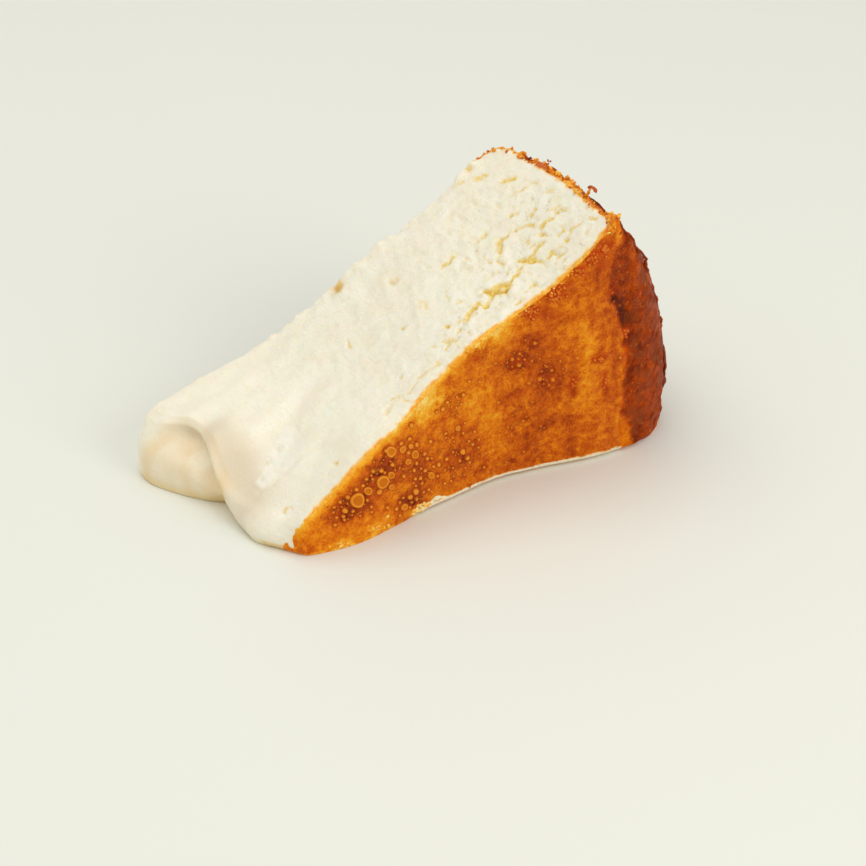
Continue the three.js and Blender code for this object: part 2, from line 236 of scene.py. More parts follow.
# ---- Blisters of the batter on the front face: x, z, radius. Seeded small ones join them ----
BLISTERS = [
    (12.9, 10.9, 1.75), (19.6, 13.2, 1.7), (22.2, 19.9, 1.45), (15.7, 12.3, 1.1), (21.9, 14.1, 0.97),
    (22.1, 10.8, 0.88), (20.8, 20.8, 0.62), (25.5, 19.1, 0.95), (27.8, 19.0, 0.76), (29.6, 18.6, 0.66),
    (27.1, 17.6, 0.6), (29.0, 16.3, 1.15), (26.9, 15.4, 0.88), (22.3, 16.7, 0.62), (19.3, 16.3, 0.62),
    (17.1, 16.9, 0.55), (15.3, 15.6, 0.55), (14.4, 14.2, 0.55), (12.8, 13.7, 0.6), (10.6, 12.4, 0.64),
    (8.7, 11.7, 0.5), (7.2, 10.8, 0.45), (9.6, 9.4, 0.72), (11.6, 8.6, 0.5), (9.2, 8.0, 0.52),
    (7.6, 8.2, 0.45), (7.1, 6.5, 0.5), (9.4, 7.1, 0.42), (15.3, 10.2, 0.42), (18.6, 11.0, 0.8),
    (16.3, 8.1, 0.5), (16.3, 6.8, 0.45), (16.9, 15.0, 0.42), (25.5, 12.3, 0.6), (28.7, 12.3, 0.6),
    (29.4, 13.9, 0.55), (31.9, 10.9, 0.62), (30.7, 11.9, 0.42), (34.3, 10.9, 0.54), (35.8, 10.9, 0.62),
    (38.1, 11.4, 0.62), (33.6, 8.9, 0.9), (35.4, 8.0, 0.48), (30.4, 9.6, 0.6), (28.9, 10.1, 0.58),
    (30.8, 8.1, 0.52), (28.9, 8.3, 0.42), (28.9, 6.7, 0.82), (27.3, 6.0, 0.74), (25.3, 6.6, 0.45),
    (24.4, 5.7, 0.45), (25.7, 3.9, 0.95), (27.2, 3.2, 0.48), (29.2, 4.6, 0.54), (31.3, 5.5, 0.52),
    (32.8, 5.5, 0.54), (37.3, 5.4, 0.5), (39.1, 5.3, 0.42), (20.9, 5.9, 0.6), (23.4, 4.5, 0.66),
    (24.3, 2.4, 0.55), (41.4, 18.1, 0.85), (43.4, 18.8, 0.42), (37.8, 18.2, 0.6), (33.6, 17.7, 0.62),
    (31.9, 15.2, 0.6), (32.7, 13.6, 0.6), (42.7, 11.5, 0.78), (44.4, 13.7, 0.48), (45.5, 12.4, 0.52),
    (44.0, 9.4, 0.68), (41.7, 9.6, 0.48), (44.7, 7.9, 0.48), (46.0, 15.6, 0.5), (47.3, 13.0, 0.46),
    (28.1, 24.2, 0.75), (25.0, 21.0, 0.66), (27.5, 21.0, 0.68), (37.3, 24.6, 0.7), (35.5, 24.5, 0.5),
    (38.5, 25.9, 0.6), (41.2, 26.2, 0.44), (43.0, 26.2, 0.6), (42.3, 24.1, 0.45), (44.5, 29.2, 0.5),
    (47.3, 28.2, 0.42), (42.8, 16.4, 0.44), (55.8, 31.5, 0.45), (57.4, 29.6, 0.5), (61.2, 34.5, 0.45),
    (60.0, 24.3, 0.45), (62.7, 24.7, 0.55), (66.0, 23.8, 0.52), (71.8, 28.3, 0.5), (75.4, 24.0, 0.42),
    (52.4, 21.2, 0.45),
]
LEAN = 0.24  # the blisters are a little longer down towards the rim
BLISTER_PATCHES = [  # x, z, half width, half height, how many
    (11, 9.5, 6, 3.5, 44), (20, 16, 6, 4, 36), (29, 10, 6, 6, 40), (28, 5, 4, 3, 26), (40, 12, 7, 6, 40),
    (40, 25, 5, 4, 26), (57, 30, 5, 5, 30), (64, 25, 6, 3, 20), (48, 36, 4, 2.5, 20), (60, 14, 8, 8, 20),
    (46, 5, 5, 3, 10), (86, 45, 4, 5, 12), (88, 22, 4, 10, 12),
]
FULL_PATCH = 26  # so many blisters make a patch of the strongest foam
# ---- Painted shade in the rim's crease, as darker patches: x, z, half width, half height, strength ----
RIM_CREASE_SHADE = [(87, 29, 1.8, 5, 0.05), (84.6, 35.4, 1.6, 1.2, 0.10), (80.7, 43.2, 1.0, 1.0, 0.22)]

# ---- Crumbs along the rim's cut edge: share of the way from front to far, spread, how many ----
CRUMB_CLUSTERS = [
    (0.07, 0.03, 5), (0.16, 0.06, 12), (0.27, 0.05, 20), (0.36, 0.05, 12), (0.47, 0.06, 16),
    (0.6, 0.06, 18), (0.7, 0.05, 22), (0.8, 0.05, 16), (0.92, 0.05, 10), (0.5, 0.6, 24),
]
# ---- Bits of cream at the foot of the front face: x, z, radius, how long, toast ----
FOAM_BITS = [
    (35.1, 2.1, 1.0, 1.7, 0.0), (36.9, 1.7, 0.6, 1.6, 0.0), (33.6, 1.8, 0.6, 1.4, 0.04),
    (32.2, 1.9, 0.6, 1.5, 0.1), (30.8, 1.6, 0.6, 1.5, 0.12), (29.4, 1.3, 0.5, 1.6, 0.14),
    (28.2, 1.0, 0.4, 1.6, 0.16),
]
FOAM_PATCHES = [  # x, z, spread along x, spread along z, how many, toast
    (8.4, 0.9, 1.9, 0.5, 22, 0.24), (18, 1.9, 2.2, 0.8, 34, 0.24), (30.6, 1.8, 1.8, 0.6, 26, 0.12),
]
# ---- Clumps on the rim's cut edge: share across, height, radius, toast ----
CLUMPS = [
    (0.84, 0.2, 0.5, 0.5), (0.77, 0.3, 0.75, 0.6), (0.75, 0.5, 0.6, 0.75), (0.71, 0.7, 0.5, 0.3),
    (0.64, 0.6, 0.8, 0.55), (0.645, 1.5, 0.5, 0.72), (0.66, 0.2, 0.7, 0.4), (0.58, 0.4, 0.85, 0.28),
    (0.565, 0.3, 0.5, 0.3), (0.52, 0.3, 0.8, 0.5), (0.5, 0.5, 0.55, 0.35), (0.46, 0.3, 0.8, 0.62),
    (0.44, 0.2, 0.6, 0.35), (0.408, 0.3, 0.95, 0.62), (0.395, -0.2, 0.7, 0.45), (0.36, -0.4, 0.7, 0.26),
    (0.33, -0.5, 0.5, 0.3), (0.28, 0.1, 0.55, 0.3), (0.26, 0.3, 0.5, 0.5), (0.19, 0.3, 0.8, 0.3),
    (0.16, 0.1, 0.7, 0.34), (0.13, 0.2, 0.6, 0.5), (0.22, 0.1, 0.5, 0.45), (0.9, 0.2, 0.5, 0.4),
    (0.95, 0.2, 0.5, 0.5),
]
# ---- Thin leaves of burnt skin at the rim ----
LEAVES = [  # half width, half thickness, toast, stands up, path of share across, share up, lift
    (0.22, 0.16, 0.88, True, [
        (0.39, 1, 0), (0.36, 1, 0.2), (0.33, 1, 0.25), (0.3, 1, 0.15), (0.27, 1, 0),
    ]),
    (0.26, 0.16, 0.82, True, [
        (0.16, 0.99, 0), (0.16, 0.95, 0.1), (0.165, 0.91, 0.15), (0.17, 0.87, 0.15), (0.17, 0.83, 0.1),
    ]),
    (0.38, 0.22, 0.8, True, [
        (0.17, 0.86, 0.0), (0.17, 0.83, 0.2), (0.172, 0.79, 0.5), (0.174, 0.76, 0.9), (0.175, 0.74, 1.3),
    ]),
    (0.42, 0.24, 0.78, True, [
        (0.175, 0.748, 1.1), (0.175, 0.725, 0.5), (0.175, 0.69, 0.2), (0.18, 0.66, 0.1),
    ]),
    (0.8, 0.4, 0.84, False, [
        (0.175, 0.32, -0.2), (0.178, 0.28, 0.2), (0.18, 0.22, 0.4), (0.18, 0.16, 0.35),
        (0.178, 0.12, -0.2),
    ]),
    (0.45, 0.3, 0.35, False, [(0.41, 0.999, 0.2), (0.4, 1.0, 1.2), (0.392, 1.0, 1.9), (0.386, 1.0, 2.4)]),
    (0.42, 0.26, 0.66, False, [
        (0.404, 1.0, 2.2), (0.388, 1.0, 2.8), (0.362, 1.0, 3.1), (0.338, 1.0, 2.9),
    ]),
    (0.3, 0.2, 0.75, True, [(0.175, 0.55, 0.0), (0.178, 0.53, 0.3), (0.18, 0.5, 0.1)]),
    (0.3, 0.2, 0.75, True, [(0.178, 0.44, 0.0), (0.18, 0.42, 0.35), (0.18, 0.4, 0.05)]),
]
# ---- How many small crumbs lie on the skin, and how flat they are ----
YELLOW_BITS = 40
RIM_GRAINS = 110
CRUMBS_IN_CLUMP = 7
CRUMB_FLATNESS = 0.7

# ---- Camera: the photo's view, in the slice's frame ----
VIEW_TARGET = (50.6, 28.6, 0.0)
VIEW_DISTANCE = 600.0
VIEW_AZIMUTH = radians(-31)
VIEW_ELEVATION = radians(31.8)
FRAME_PIXELS = 866
FOCAL_PIXELS = 2530
SENSOR = 36.0
IN_FRONT = -40.0  # rays towards the front face start here

# ---- Light and ground, in metres ----
LIGHTS = [  # name, place, aim, size, power
    ("overhead", (-0.15, 0.22, 0.9), (0, 0, 0.0), 0.9, 3.0),
    ("front", (0.25, -0.7, 0.42), (0, 0, 0.02), 0.6, 2.2),
]
LIGHT_COLOUR = (1.0, 0.99, 0.97)
SKY_COLOUR = (0.99, 0.985, 0.96, 1)
SKY_STRENGTH = 0.64
FLOOR_HALF = 3.0


def srgb(red, green, blue):
    """A linear colour from 8-bit screen values."""
    level = np.array([red, green, blue]) / 255
    linear = np.where(level <= 0.04045, level / 12.92, ((level + 0.055) / 1.055) ** 2.4)
    return (*(float(v) for v in linear), 1.0)


# ==== Form ====


def ease(x, low, high):
    """0 at low, 1 at high and a smooth step between. low may be the larger one."""
    t = unit((x - low) / (high - low))
    return t * t * (3 - 2 * t)


def mix(a, b, t):
    """The value a share t of the way from a to b."""
    return a + (b - a) * t


def bell(value, width):
    """1 at 0, falling smoothly on both sides."""
    return np.exp(-((value / width) ** 2))


def unit(value):
    """A value kept between 0 and 1."""
    return np.clip(value, 0, 1)


def curve(knots):
    """A smooth function through (x, y) knots, level beyond its ends, that never overshoots."""
    xs, ys = (np.array(v, float) for v in zip(*knots))
    steps = np.diff(ys) / np.diff(xs)
    before = np.concatenate([steps[:1], steps])
    after = np.concatenate([steps, steps[-1:]])
    same = before * after > 0
    slopes = np.where(same, 2 * before * after / np.where(same, before + after, 1), 0)

    def value(x):
        x = np.clip(x, xs[0], xs[-1])
        i = np.clip(np.searchsorted(xs, x, side="right") - 1, 0, len(xs) - 2)
        h = xs[i + 1] - xs[i]
        t = (x - xs[i]) / h
        start = (1 + 2 * t) * (1 - t) ** 2 * ys[i] + t * (1 - t) ** 2 * h * slopes[i]
        end = t * t * (3 - 2 * t) * ys[i + 1] + t * t * (t - 1) * h * slopes[i + 1]
        return start + end

    return value


front_lift = curve(FRONT_LIFT)
far_lift = curve(FAR_LIFT)
front_foot = curve(FRONT_FOOT)
front_brow = curve(FRONT_BROW)
far_face = curve(FAR_FACE)
foot_reach = curve(FOOT_REACH)
lip_reach = curve(LIP_REACH)
hollow_depth = curve(HOLLOW_DEPTH)
hollow_height = curve(HOLLOW_HEIGHT)
fold = curve(FOLD)
fold_line = curve(FOLD_LINE)


def nose_reach(y, up):
    """How far the nose reaches past the flat wedge's tip."""
    height = np.minimum(up / LIP_START, 1)
    slope = mix(foot_reach(y), lip_reach(y), height)
    belly = NOSE_BELLY * np.sin(pi * height)
    hollow = hollow_depth(y) * np.exp(-4 * ((up - hollow_height(y)) / HOLLOW_SPREAD) ** 2)
    roll = LIP_ROLL * ease(up, LIP_START, 1)
    return slope + (belly - hollow - roll) * ease(y, *NOSE_START)


def upper_face(x, y):
    """Height of the upper cut face over the ground plan."""
    share = mix(fold(y), ease(y, *FACE_TWIST), ease(x, *FOLD_FADE))
    return x * tan(CUT_ANGLE) + mix(front_lift(x), far_lift(x), share)


def rim_section(across, up):
    """Radius and depth of the rim's section, with a worn corner at each side."""
    radius = CAKE_RADIUS + RIM_BULGE * np.sin(pi * up**0.8) ** 1.4
    worn = radius - EDGE_ROUND - FRONT_FACE_END / np.cos(up * CUT_ANGLE)
    width = EDGE_ROUND + np.maximum(worn, 0)
    depth = EDGE_ROUND + FOLD_DEPTH_SHARE * (width - EDGE_ROUND)
    near = np.minimum(across / FRONT_CORNER_SHARE, 1) * pi / 2
    far = np.maximum((across - 1 + FAR_CORNER_SHARE) / FAR_CORNER_SHARE, 0) * pi / 2
    crown = RIM_CROWN * np.sin(pi * across**1.3) ** 2
    straight = unit((across - FRONT_CORNER_SHARE) / (1 - FRONT_CORNER_SHARE - FAR_CORNER_SHARE))
    reach = radius + crown - width * (1 - np.sin(near)) - FAR_CORNER_ROUND * (1 - np.cos(far))
    flat = CAKE_HEIGHT - depth - FAR_CORNER_ROUND
    return reach, depth * (1 - np.cos(near)) + flat * straight + FAR_CORNER_ROUND * np.sin(far)


def slice_points(out, across, up):
    """Points of the smooth form at shares out, across and up."""
    reach, depth = rim_section(across, up)
    radius = out * reach
    share = mix(across, depth / CAKE_HEIGHT, out**DEPTH_POWER)
    soft = 1 - ease(radius, 0, SOFT_LENGTH)
    x = radius * np.cos(up * CUT_ANGLE) - nose_reach(share * NOSE_WIDTH, up) * soft
    front = mix(front_foot(x), front_brow(x), up)
    y = mix(front, far_face(x), share)
    top_x = radius * cos(CUT_ANGLE) - nose_reach(share * NOSE_WIDTH, np.ones_like(up)) * soft
    lift = upper_face(top_x, y) - radius * sin(CUT_ANGLE)
    return np.stack([x, y, radius * np.sin(up * CUT_ANGLE) + lift * up], -1)


LOWER, UPPER, FRONT, FAR, TIP, RIM = range(6)


def skin_grid(steps):
    """The closed grid over the six sides: shares of each vertex, the quads and each quad's side."""
    axes = [np.linspace(0, 1, n + 1) for n in steps]
    axes[1] = FRONT_STEP * axes[1] + (1 - FRONT_STEP) * axes[1] ** 2
    number = -np.ones([n + 1 for n in steps], int)
    outer = np.zeros(number.shape, bool)
    for axis in range(3):
        for end in (0, -1):
            outer[(slice(None),) * axis + (end,)] = True
    number[outer] = np.arange(outer.sum())
    places = np.nonzero(outer)
    shares = np.stack([axis[place] for axis, place in zip(axes, places)], -1)
    sheets = {
        LOWER: (number[:, :, 0], True), UPPER: (number[:, :, -1], False),
        FRONT: (number[:, 0, :], False), FAR: (number[:, -1, :], True),
        TIP: (number[0], True), RIM: (number[-1], False),
    }
    quads, sides = [], []
    for side, (sheet, flip) in sheets.items():
        corners = [sheet[:-1, :-1], sheet[1:, :-1], sheet[1:, 1:], sheet[:-1, 1:]]
        if flip:
            corners.reverse()
        quads.append(np.stack([c.ravel() for c in corners], -1))
        sides.append(np.full(len(quads[-1]), side))
    return shares, np.concatenate(quads), np.concatenate(sides)


def neighbour_mean(points, pairs):
    """The mean of each vertex's neighbours along the grid's edges."""
    total = np.zeros_like(points)
    count = np.zeros(len(points))
    for a, b in ((0, 1), (1, 0)):
        for axis in range(3):
            total[:, axis] += np.bincount(pairs[:, a], points[pairs[:, b], axis], len(points))
        count += np.bincount(pairs[:, a], minlength=len(points))
    return total / count[:, None]


def edge_pairs(quads):
    """Each pair of vertices that an edge joins, once."""
    pairs = np.concatenate([quads[:, [i, (i + 1) % 4]] for i in range(4)])
    return np.unique(np.sort(pairs, 1), axis=0)


def vertex_normals(points, quads):
    """The mean normal of the quads round each vertex."""
    a, b, c, d = (points[quads[:, i]] for i in range(4))
    face = np.cross(c - a, d - b)
    total = np.zeros_like(points)
    for i in range(4):
        for axis in range(3):
            total[:, axis] += np.bincount(quads[:, i], face[:, axis], len(points))
    return total / np.maximum(np.linalg.norm(total, axis=1, keepdims=True), 1e-9)


# ==== Noise and marks ====


def lattice(cell, seed):
    """A repeatable number between -1 and 1 for each whole-number cell."""
    n = cell[..., 0] * 374761393 + cell[..., 1] * 668265263 + cell[..., 2] * 1442695041
    n = (n + seed * 974711) & 0xFFFFFFFF
    n = ((n ^ (n >> 13)) * 1274126177) & 0xFFFFFFFF
    n = ((n ^ (n >> 16)) * 2246822519) & 0xFFFFFFFF
    return ((n ^ (n >> 15)) & 0xFFFFFF) / 0x7FFFFF - 1


def noise(points, size, seed):
    """Smooth noise between -1 and 1, with lumps of a size in mm, or of three sizes along the axes."""
    at = points / np.asarray(size, float)
    cell = np.floor(at).astype(np.int64)
    t = at - cell
    t = t * t * (3 - 2 * t)
    value = 0
    for i in (0, 1):
        for j in (0, 1):
            for k in (0, 1):
                corner = lattice(cell + np.array([i, j, k]), seed)
                share = np.abs(1 - i - t[:, 0]) * np.abs(1 - j - t[:, 1]) * np.abs(1 - k - t[:, 2])
                value = value + corner * share
    return value


def rough(points, size, seed, octaves=3):
    """Noise of several sizes, each half as large and half as strong as the one before."""
    total = sum(noise(points, np.asarray(size, float) / 2**n, seed + n) / 2**n for n in range(octaves))
    return total / (2 - 0.5 ** (octaves - 1))


def wandered(points, axes, reach, size, seed):
    """Two of the points' coordinates, each moved by its own noise, which reaches so many mm."""
    return [points[:, axis] + reach * noise(points, size, seed + i) for i, axis in enumerate(axes)]


def oval(x, y, mark):
    """1 in the middle of an oval mark, fading to 0 past its half lengths."""
    return np.exp(-(((x - mark[0]) / mark[2]) ** 2) - ((y - mark[1]) / mark[3]) ** 2)


def path_distance(x, y, path):
    """Distance from each point to a path of straight stretches."""
    best = np.full(x.shape, 1e9)
    for (x0, y0), (x1, y1) in zip(path[:-1], path[1:]):
        dx, dy = x1 - x0, y1 - y0
        t = unit(((x - x0) * dx + (y - y0) * dy) / (dx * dx + dy * dy))
        best = np.minimum(best, np.hypot(x - x0 - t * dx, y - y0 - t * dy))
    return best


# ==== The slice's skin: where things are, relief and colour masks ====


class Skin:
    """The slice's fine mesh in mm, with where each vertex lies and what shows there."""

    def __init__(self):
        self.shares, self.quads, self.sides = skin_grid(STEPS)
        self.points = slice_points(*self.shares.T)
        self.pairs = edge_pairs(self.quads)
        self.place()
        self.soften_edges()
        self.marks()
        self.raise_relief()

    def place(self):
        """How deep each vertex lies behind each side, in mm."""
        out, across, up = self.shares.T
        x, y, z = self.points.T
        self.out, self.across, self.up = out, across, up
        reach, depth = rim_section(across, up)
        share = mix(across, depth / CAKE_HEIGHT, out**DEPTH_POWER)
        self.below_top = np.where(up == 1, 0, np.maximum(upper_face(x, y) - z, 0) * cos(CUT_ANGLE))
        self.behind_front = share * CAKE_HEIGHT
        self.before_far = (1 - share) * CAKE_HEIGHT
        self.before_rim = (1 - out) * reach
        self.from_tip = out * CAKE_RADIUS
        self.above_ground = np.where(up == 0, 0, z + 0.3)
        self.on_top = up == 1
        self.on_cut = self.on_top | (up == 0)
        self.on_front = (across == 0) & ~self.on_top
        self.on_nose = (out == 0) & ~self.on_top

    def side_weight(self, side, reach=0.9):
        """1 on a side, fading round its edges."""
        depth = {
            UPPER: self.below_top,
            FRONT: np.where(self.across == 0, 0, self.behind_front),
            FAR: np.where(self.across == 1, 0, self.before_far),
            RIM: self.before_rim,
            TIP: self.from_tip,
        }[side]
        return bell(depth, reach)

    def smooth(self, weight, rounds):
        """Eases the surface by a weight at each vertex, and keeps the foot on the ground."""
        for _ in range(rounds):
            moved = mix(self.points, neighbour_mean(self.points, self.pairs), weight[:, None])
            moved[:, 2] = np.where(self.up == 0, 0, np.maximum(moved[:, 2], 0))
            self.points = moved

    def soften_edges(self):
        """Rounds the edges, most where the tip has melted."""
        upper, front, far = self.below_top, self.behind_front, self.before_far
        rim, tip, ground = self.before_rim, self.from_tip, self.above_ground

        def near(a, b, reach):
            """1 on the edge where two sides meet."""
            return bell(a + b, reach)

        edges = [
            0.5 * near(upper, front, 1.5), 0.7 * near(upper, far, 2.4), 0.5 * near(upper, rim, 1.6),
            0.7 * near(upper, tip, 2.4), 0.7 * near(far, tip, 4.0), 0.6 * near(front, tip, 2.0),
            0.5 * near(far, rim, 2.0), 0.45 * near(ground, tip, 1.2), 0.45 * near(ground, rim, 1.0),
        ]
        self.smooth(np.maximum.reduce(edges), 10)
        toward_front = ease(self.points[:, 1], 46, 20)
        sagged = near(upper, tip, 7.0) * (0.12 * toward_front + 0.88 * ease(self.points[:, 1], 26, 18))
        sagged *= ease(self.points[:, 2], 0.5, 3)
        sagged = np.maximum(sagged, 0.8 * near(front, tip, 3.4))
        self.smooth(0.7 * sagged, 60)
        self.normals = vertex_normals(self.points, self.quads)

    def marks(self):
        """Masks of what shows where, between 0 and 1, and a mottle between -1 and 1."""
        x, y, _ = self.points.T
        flat = self.points
        self.mottle = rough(flat, 9, 21)
        on_top = self.side_weight(UPPER, 0.7)
        wander_x = x + 0.35 * noise(flat, 1.8, 31) + 0.2 * noise(flat, 0.9, 34)
        wander_y = y + 0.55 * noise(flat, 1.5, 32) + 0.2 * noise(flat, 0.9, 35)

        self.tears = np.zeros(len(x))
        self.lips = np.zeros(len(x))
        for width, strength, path in TEARS:
            distance = path_distance(wander_x, wander_y, path)
            tear = (0.25 + 0.75 * strength) * bell(distance, 1.2 * width + 0.08)
            self.tears = np.maximum(self.tears, tear)
            self.lips = np.maximum(self.lips, strength * bell(distance, 2.2 * width + 0.3))
        self.tears *= on_top * unit(1.1 + 0.5 * noise(flat, 1.3, 33))

        self.pits = np.zeros(len(x))
        for pit in PITS:
            self.pits = np.maximum(self.pits, pit[4] * oval(wander_x, wander_y, pit))
        near_tears = bell(path_distance(x, y, [(42, 9), (58, 13), (72, 16)]), 7) * ease(x, 32, 48)
        toward_rim = ease(x, 44, 66) * (0.4 + 0.6 * bell(y - 18, 16))
        self.crumbly = np.maximum(near_tears, toward_rim) * on_top * ease(self.before_rim, 1.5, 6)
        small = np.clip((noise(flat, (1.3, 1.5, 1.3), 41) - 0.42) * 2.2, 0, 0.8)
        self.pits = np.maximum(self.pits, small * self.crumbly) * on_top
        pool_x, pool_y = wandered(flat, GROUND_PLAN, 0.7, 2.4, 51)
        spread = np.maximum.reduce([oval(pool_x, pool_y, part) for part in POOL])
        self.pool = ease(spread + 0.16 * noise(flat, 1.1, 53), 0.16, 0.66) * on_top

    def raise_relief(self):
        """Moves each vertex along its normal by the relief of the sides it lies on."""
        x, _, z = self.points.T
        top = self.side_weight(UPPER)
        front = self.side_weight(FRONT)
        rim = self.side_weight(RIM, 1.6)
        far = self.side_weight(FAR, 1.4)
        tip = self.side_weight(TIP, 2.0)
        self.rind = unit(np.maximum(rim, beyond_fold(x, z, self.points) * front))

        rise = top * self.cream_relief() + (1 - top) * tip * 0.25 * noise(self.points, 5, 85)
        rim_rise = 0.85 * self.rind * (1 - top) * rind_relief(self.points)
        rise += front * (1 - self.rind) * self.front_relief() + rim_rise
        burnt = 0.5 * rough(self.points, (9, 9, 6), 83) + 0.25 * rough(self.points, 2, 84)
        rise += far * (1 - rim) * burnt
        edges = np.maximum(self.side_weight(RIM, 1.8), self.side_weight(FAR, 2.8))
        torn = self.side_weight(UPPER, 1.8) * edges
        rise += torn * (0.7 * noise(self.points, 1.8, 86) + noise(self.points, 4.5, 87)) * ease(x, 8, 30)
        hold = np.where(self.up == 0, 0, ease(z, 0, 1.5))
        self.points = self.points + self.normals * (rise * hold)[:, None]
        self.tuck_foot()
        self.normals = vertex_normals(self.points, self.quads)

    def cream_relief(self):
        """Relief of the upper cut face: knife strokes, tears and pits near the rim, folds at the tip."""
        x, y, z = self.points.T
        flat = self.points
        soft = 1 - ease(x, 8, 34)
        leaning = np.stack([x * 0.93 - y * 0.37, x * 0.37 + y * 0.93, z], -1)
        strokes = noise(leaning, (1.1, 5, 4), 61) * ease(x, 12, 26) * (1 - 0.8 * ease(x, 56, 74))
        folds = np.stack([x * 0.5 + y * 0.3, y * 0.8 - x * 0.4, z], -1)
        relief = 0.3 * noise(flat, 5, 62) * (1 - soft) + 0.5 * noise(folds, (9, 4, 9), 63) * soft
        relief += 0.15 * strokes + 0.27 * rough(flat, 3.2, 64) * (1 - soft)
        relief += self.crumbly * (0.22 * noise(flat, 2.3, 65) + 0.10 * noise(flat, 1.2, 66))
        relief += 0.26 * self.lips * (1 - soft) - 0.85 * self.tears**1.6 - 0.8 * self.pits
        curdled = ease(noise(flat, 7, 67) + 0.5 * ease(x, 0, 40), -0.1, 0.5)
        curdled = curdled * (1 - self.pool) * (1 - self.slope())
        curds = unit(noise(flat, 1.9, 68) - 0.2) + 0.7 * unit(noise(flat, 1.2, 69) - 0.3)
        relief += 0.3 * curdled * curds * (0.4 + 0.6 * ease(x, 0, 14))
        layer = path_distance(*wandered(flat, GROUND_PLAN, 0.5, 2, 91), LAYER_EDGE)
        bumpy = 0.14 * noise(flat, 1.5, 70) + 0.12
        return relief - 0.35 * bell(layer, 0.55) + bumpy * self.pool

    def slope(self):
        """1 on the smooth slope between the hollow's lip and the pale pool, where shade is painted."""
        x, y, _ = self.points.T
        return bell(path_distance(x, y, SLOPE_PATH), 5.4) * ease(y, 42, 33)

    def front_relief(self):
        """Relief of the browned base: shallow dents, and reddish welts under the upper edge near the rim."""
        x, _, z = self.points.T
        flat = self.points
        relief = 0.19 * rough(flat, 2.4, 71) + 0.12 * noise(flat, 1.1, 78)
        relief += 0.22 * noise(flat, (5, 5, 14), 72) * ease(x, 60, 70)
        foot = 0.3 * np.clip(noise(flat, 1.2, 77), -0.2, 1) * ease(z, 2.6, 1.0) * ease(x, 26, 20)
        relief += 0.25 * noise(flat, 7, 74) + foot
        for x0, z0, x1, z1, width, _, height in WRINKLES:
            relief += height * line_mark(flat, x0, z0, x1, z1, width)
        welted = np.maximum(0.55 * self.welts(), 0.9 * red_marks(flat))
        return relief + welted * np.clip(noise(flat, 1.5, 73) + 0.25, -0.4, 1)

    def welts(self):
        """1 in the band of reddish welts under the base's upper edge."""
        x = self.points[:, 0]
        depth = self.below_top - 3.2 - 0.8 * noise(self.points, 4, 75)
        return bell(depth, 2.0) * ease(x, 48, 62) * ease(x, 90, 84)

    def tuck_foot(self):
        """Tucks the foot of the front face in, under a thin line of cream."""
        x, _, z = self.points.T
        front = self.side_weight(FRONT, 1.2) * ease(x, 24, 32)
        tucked = 1.1 * (1 - ease(z, 0.1, 0.75)) - 0.3 * bell(z - 1.3, 0.45)
        self.points[:, 1] += front * np.where(self.up > 0, tucked, 1.1)


def line_mark(points, x0, z0, x1, z1, width):
    """1 along a wandering line on the front face, fading to 0 past its half width."""
    x, z = wandered(points, FRONT_VIEW, 0.4, 1.6, 141)
    return bell(path_distance(x, z, [(x0, z0), (x1, z1)]), width)


def crease_mark(points):
    """1 in the crease between the base and the rim: a groove, with painted shade in it."""
    x, z = wandered(points, FRONT_VIEW, 0.7, 2.2, 143)
    width = 0.8 + 0.9 * bell(z - 34, 4)
    return bell(path_distance(x, z, CREASE), width) * (points[:, 1] < 6)


def red_marks(points):
    """1 in the reddish spots of the base and the rim."""
    x, z = wandered(points, FRONT_VIEW, 0.6, 1.5, 145)
    return np.maximum.reduce([spot[4] * oval(x, z, spot) for spot in RED_SPOTS])


def beyond_fold(x, z, points):
    """1 past the wavy fold where the base turns into the rim."""
    return ease(x - fold_line(z) + 0.8 * noise(points, 2.6, 117), -0.5, 1.1)


def rind_relief(points):
    """Relief of the rim: uneven ridges round the cake, small blisters and dents."""
    bent = points + 1.6 * np.stack([noise(points, 4, 93), noise(points, 4, 94), noise(points, 4, 95)], -1)
    ridges = 0.32 * rough(bent, (7, 7, 5), 81) + 0.20 * noise(bent, (2.6, 2.6, 1.8), 96)
    blisters = 0.95 * unit(noise(bent, 2.1, 88) - 0.3)
    blisters += 0.8 * unit(noise(bent, 1.25, 97) - 0.25)
    dents = 0.9 * unit(noise(bent, 2.9, 89) - 0.4)
    return ridges + blisters - dents - 0.5 * crease_mark(points)


def ragged_edge(points):
    """How far the edges of the browned skin wander, in mm."""
    return 0.5 * noise(points, 1.1, 101) + 0.35 * noise(points, 3.2, 102)


def rim_line(skin, ragged):
    """1 on the cut faces' thin line of browned skin along the rim."""
    return ease(skin.before_rim + ragged * 1.4, 2.4, 0.5)


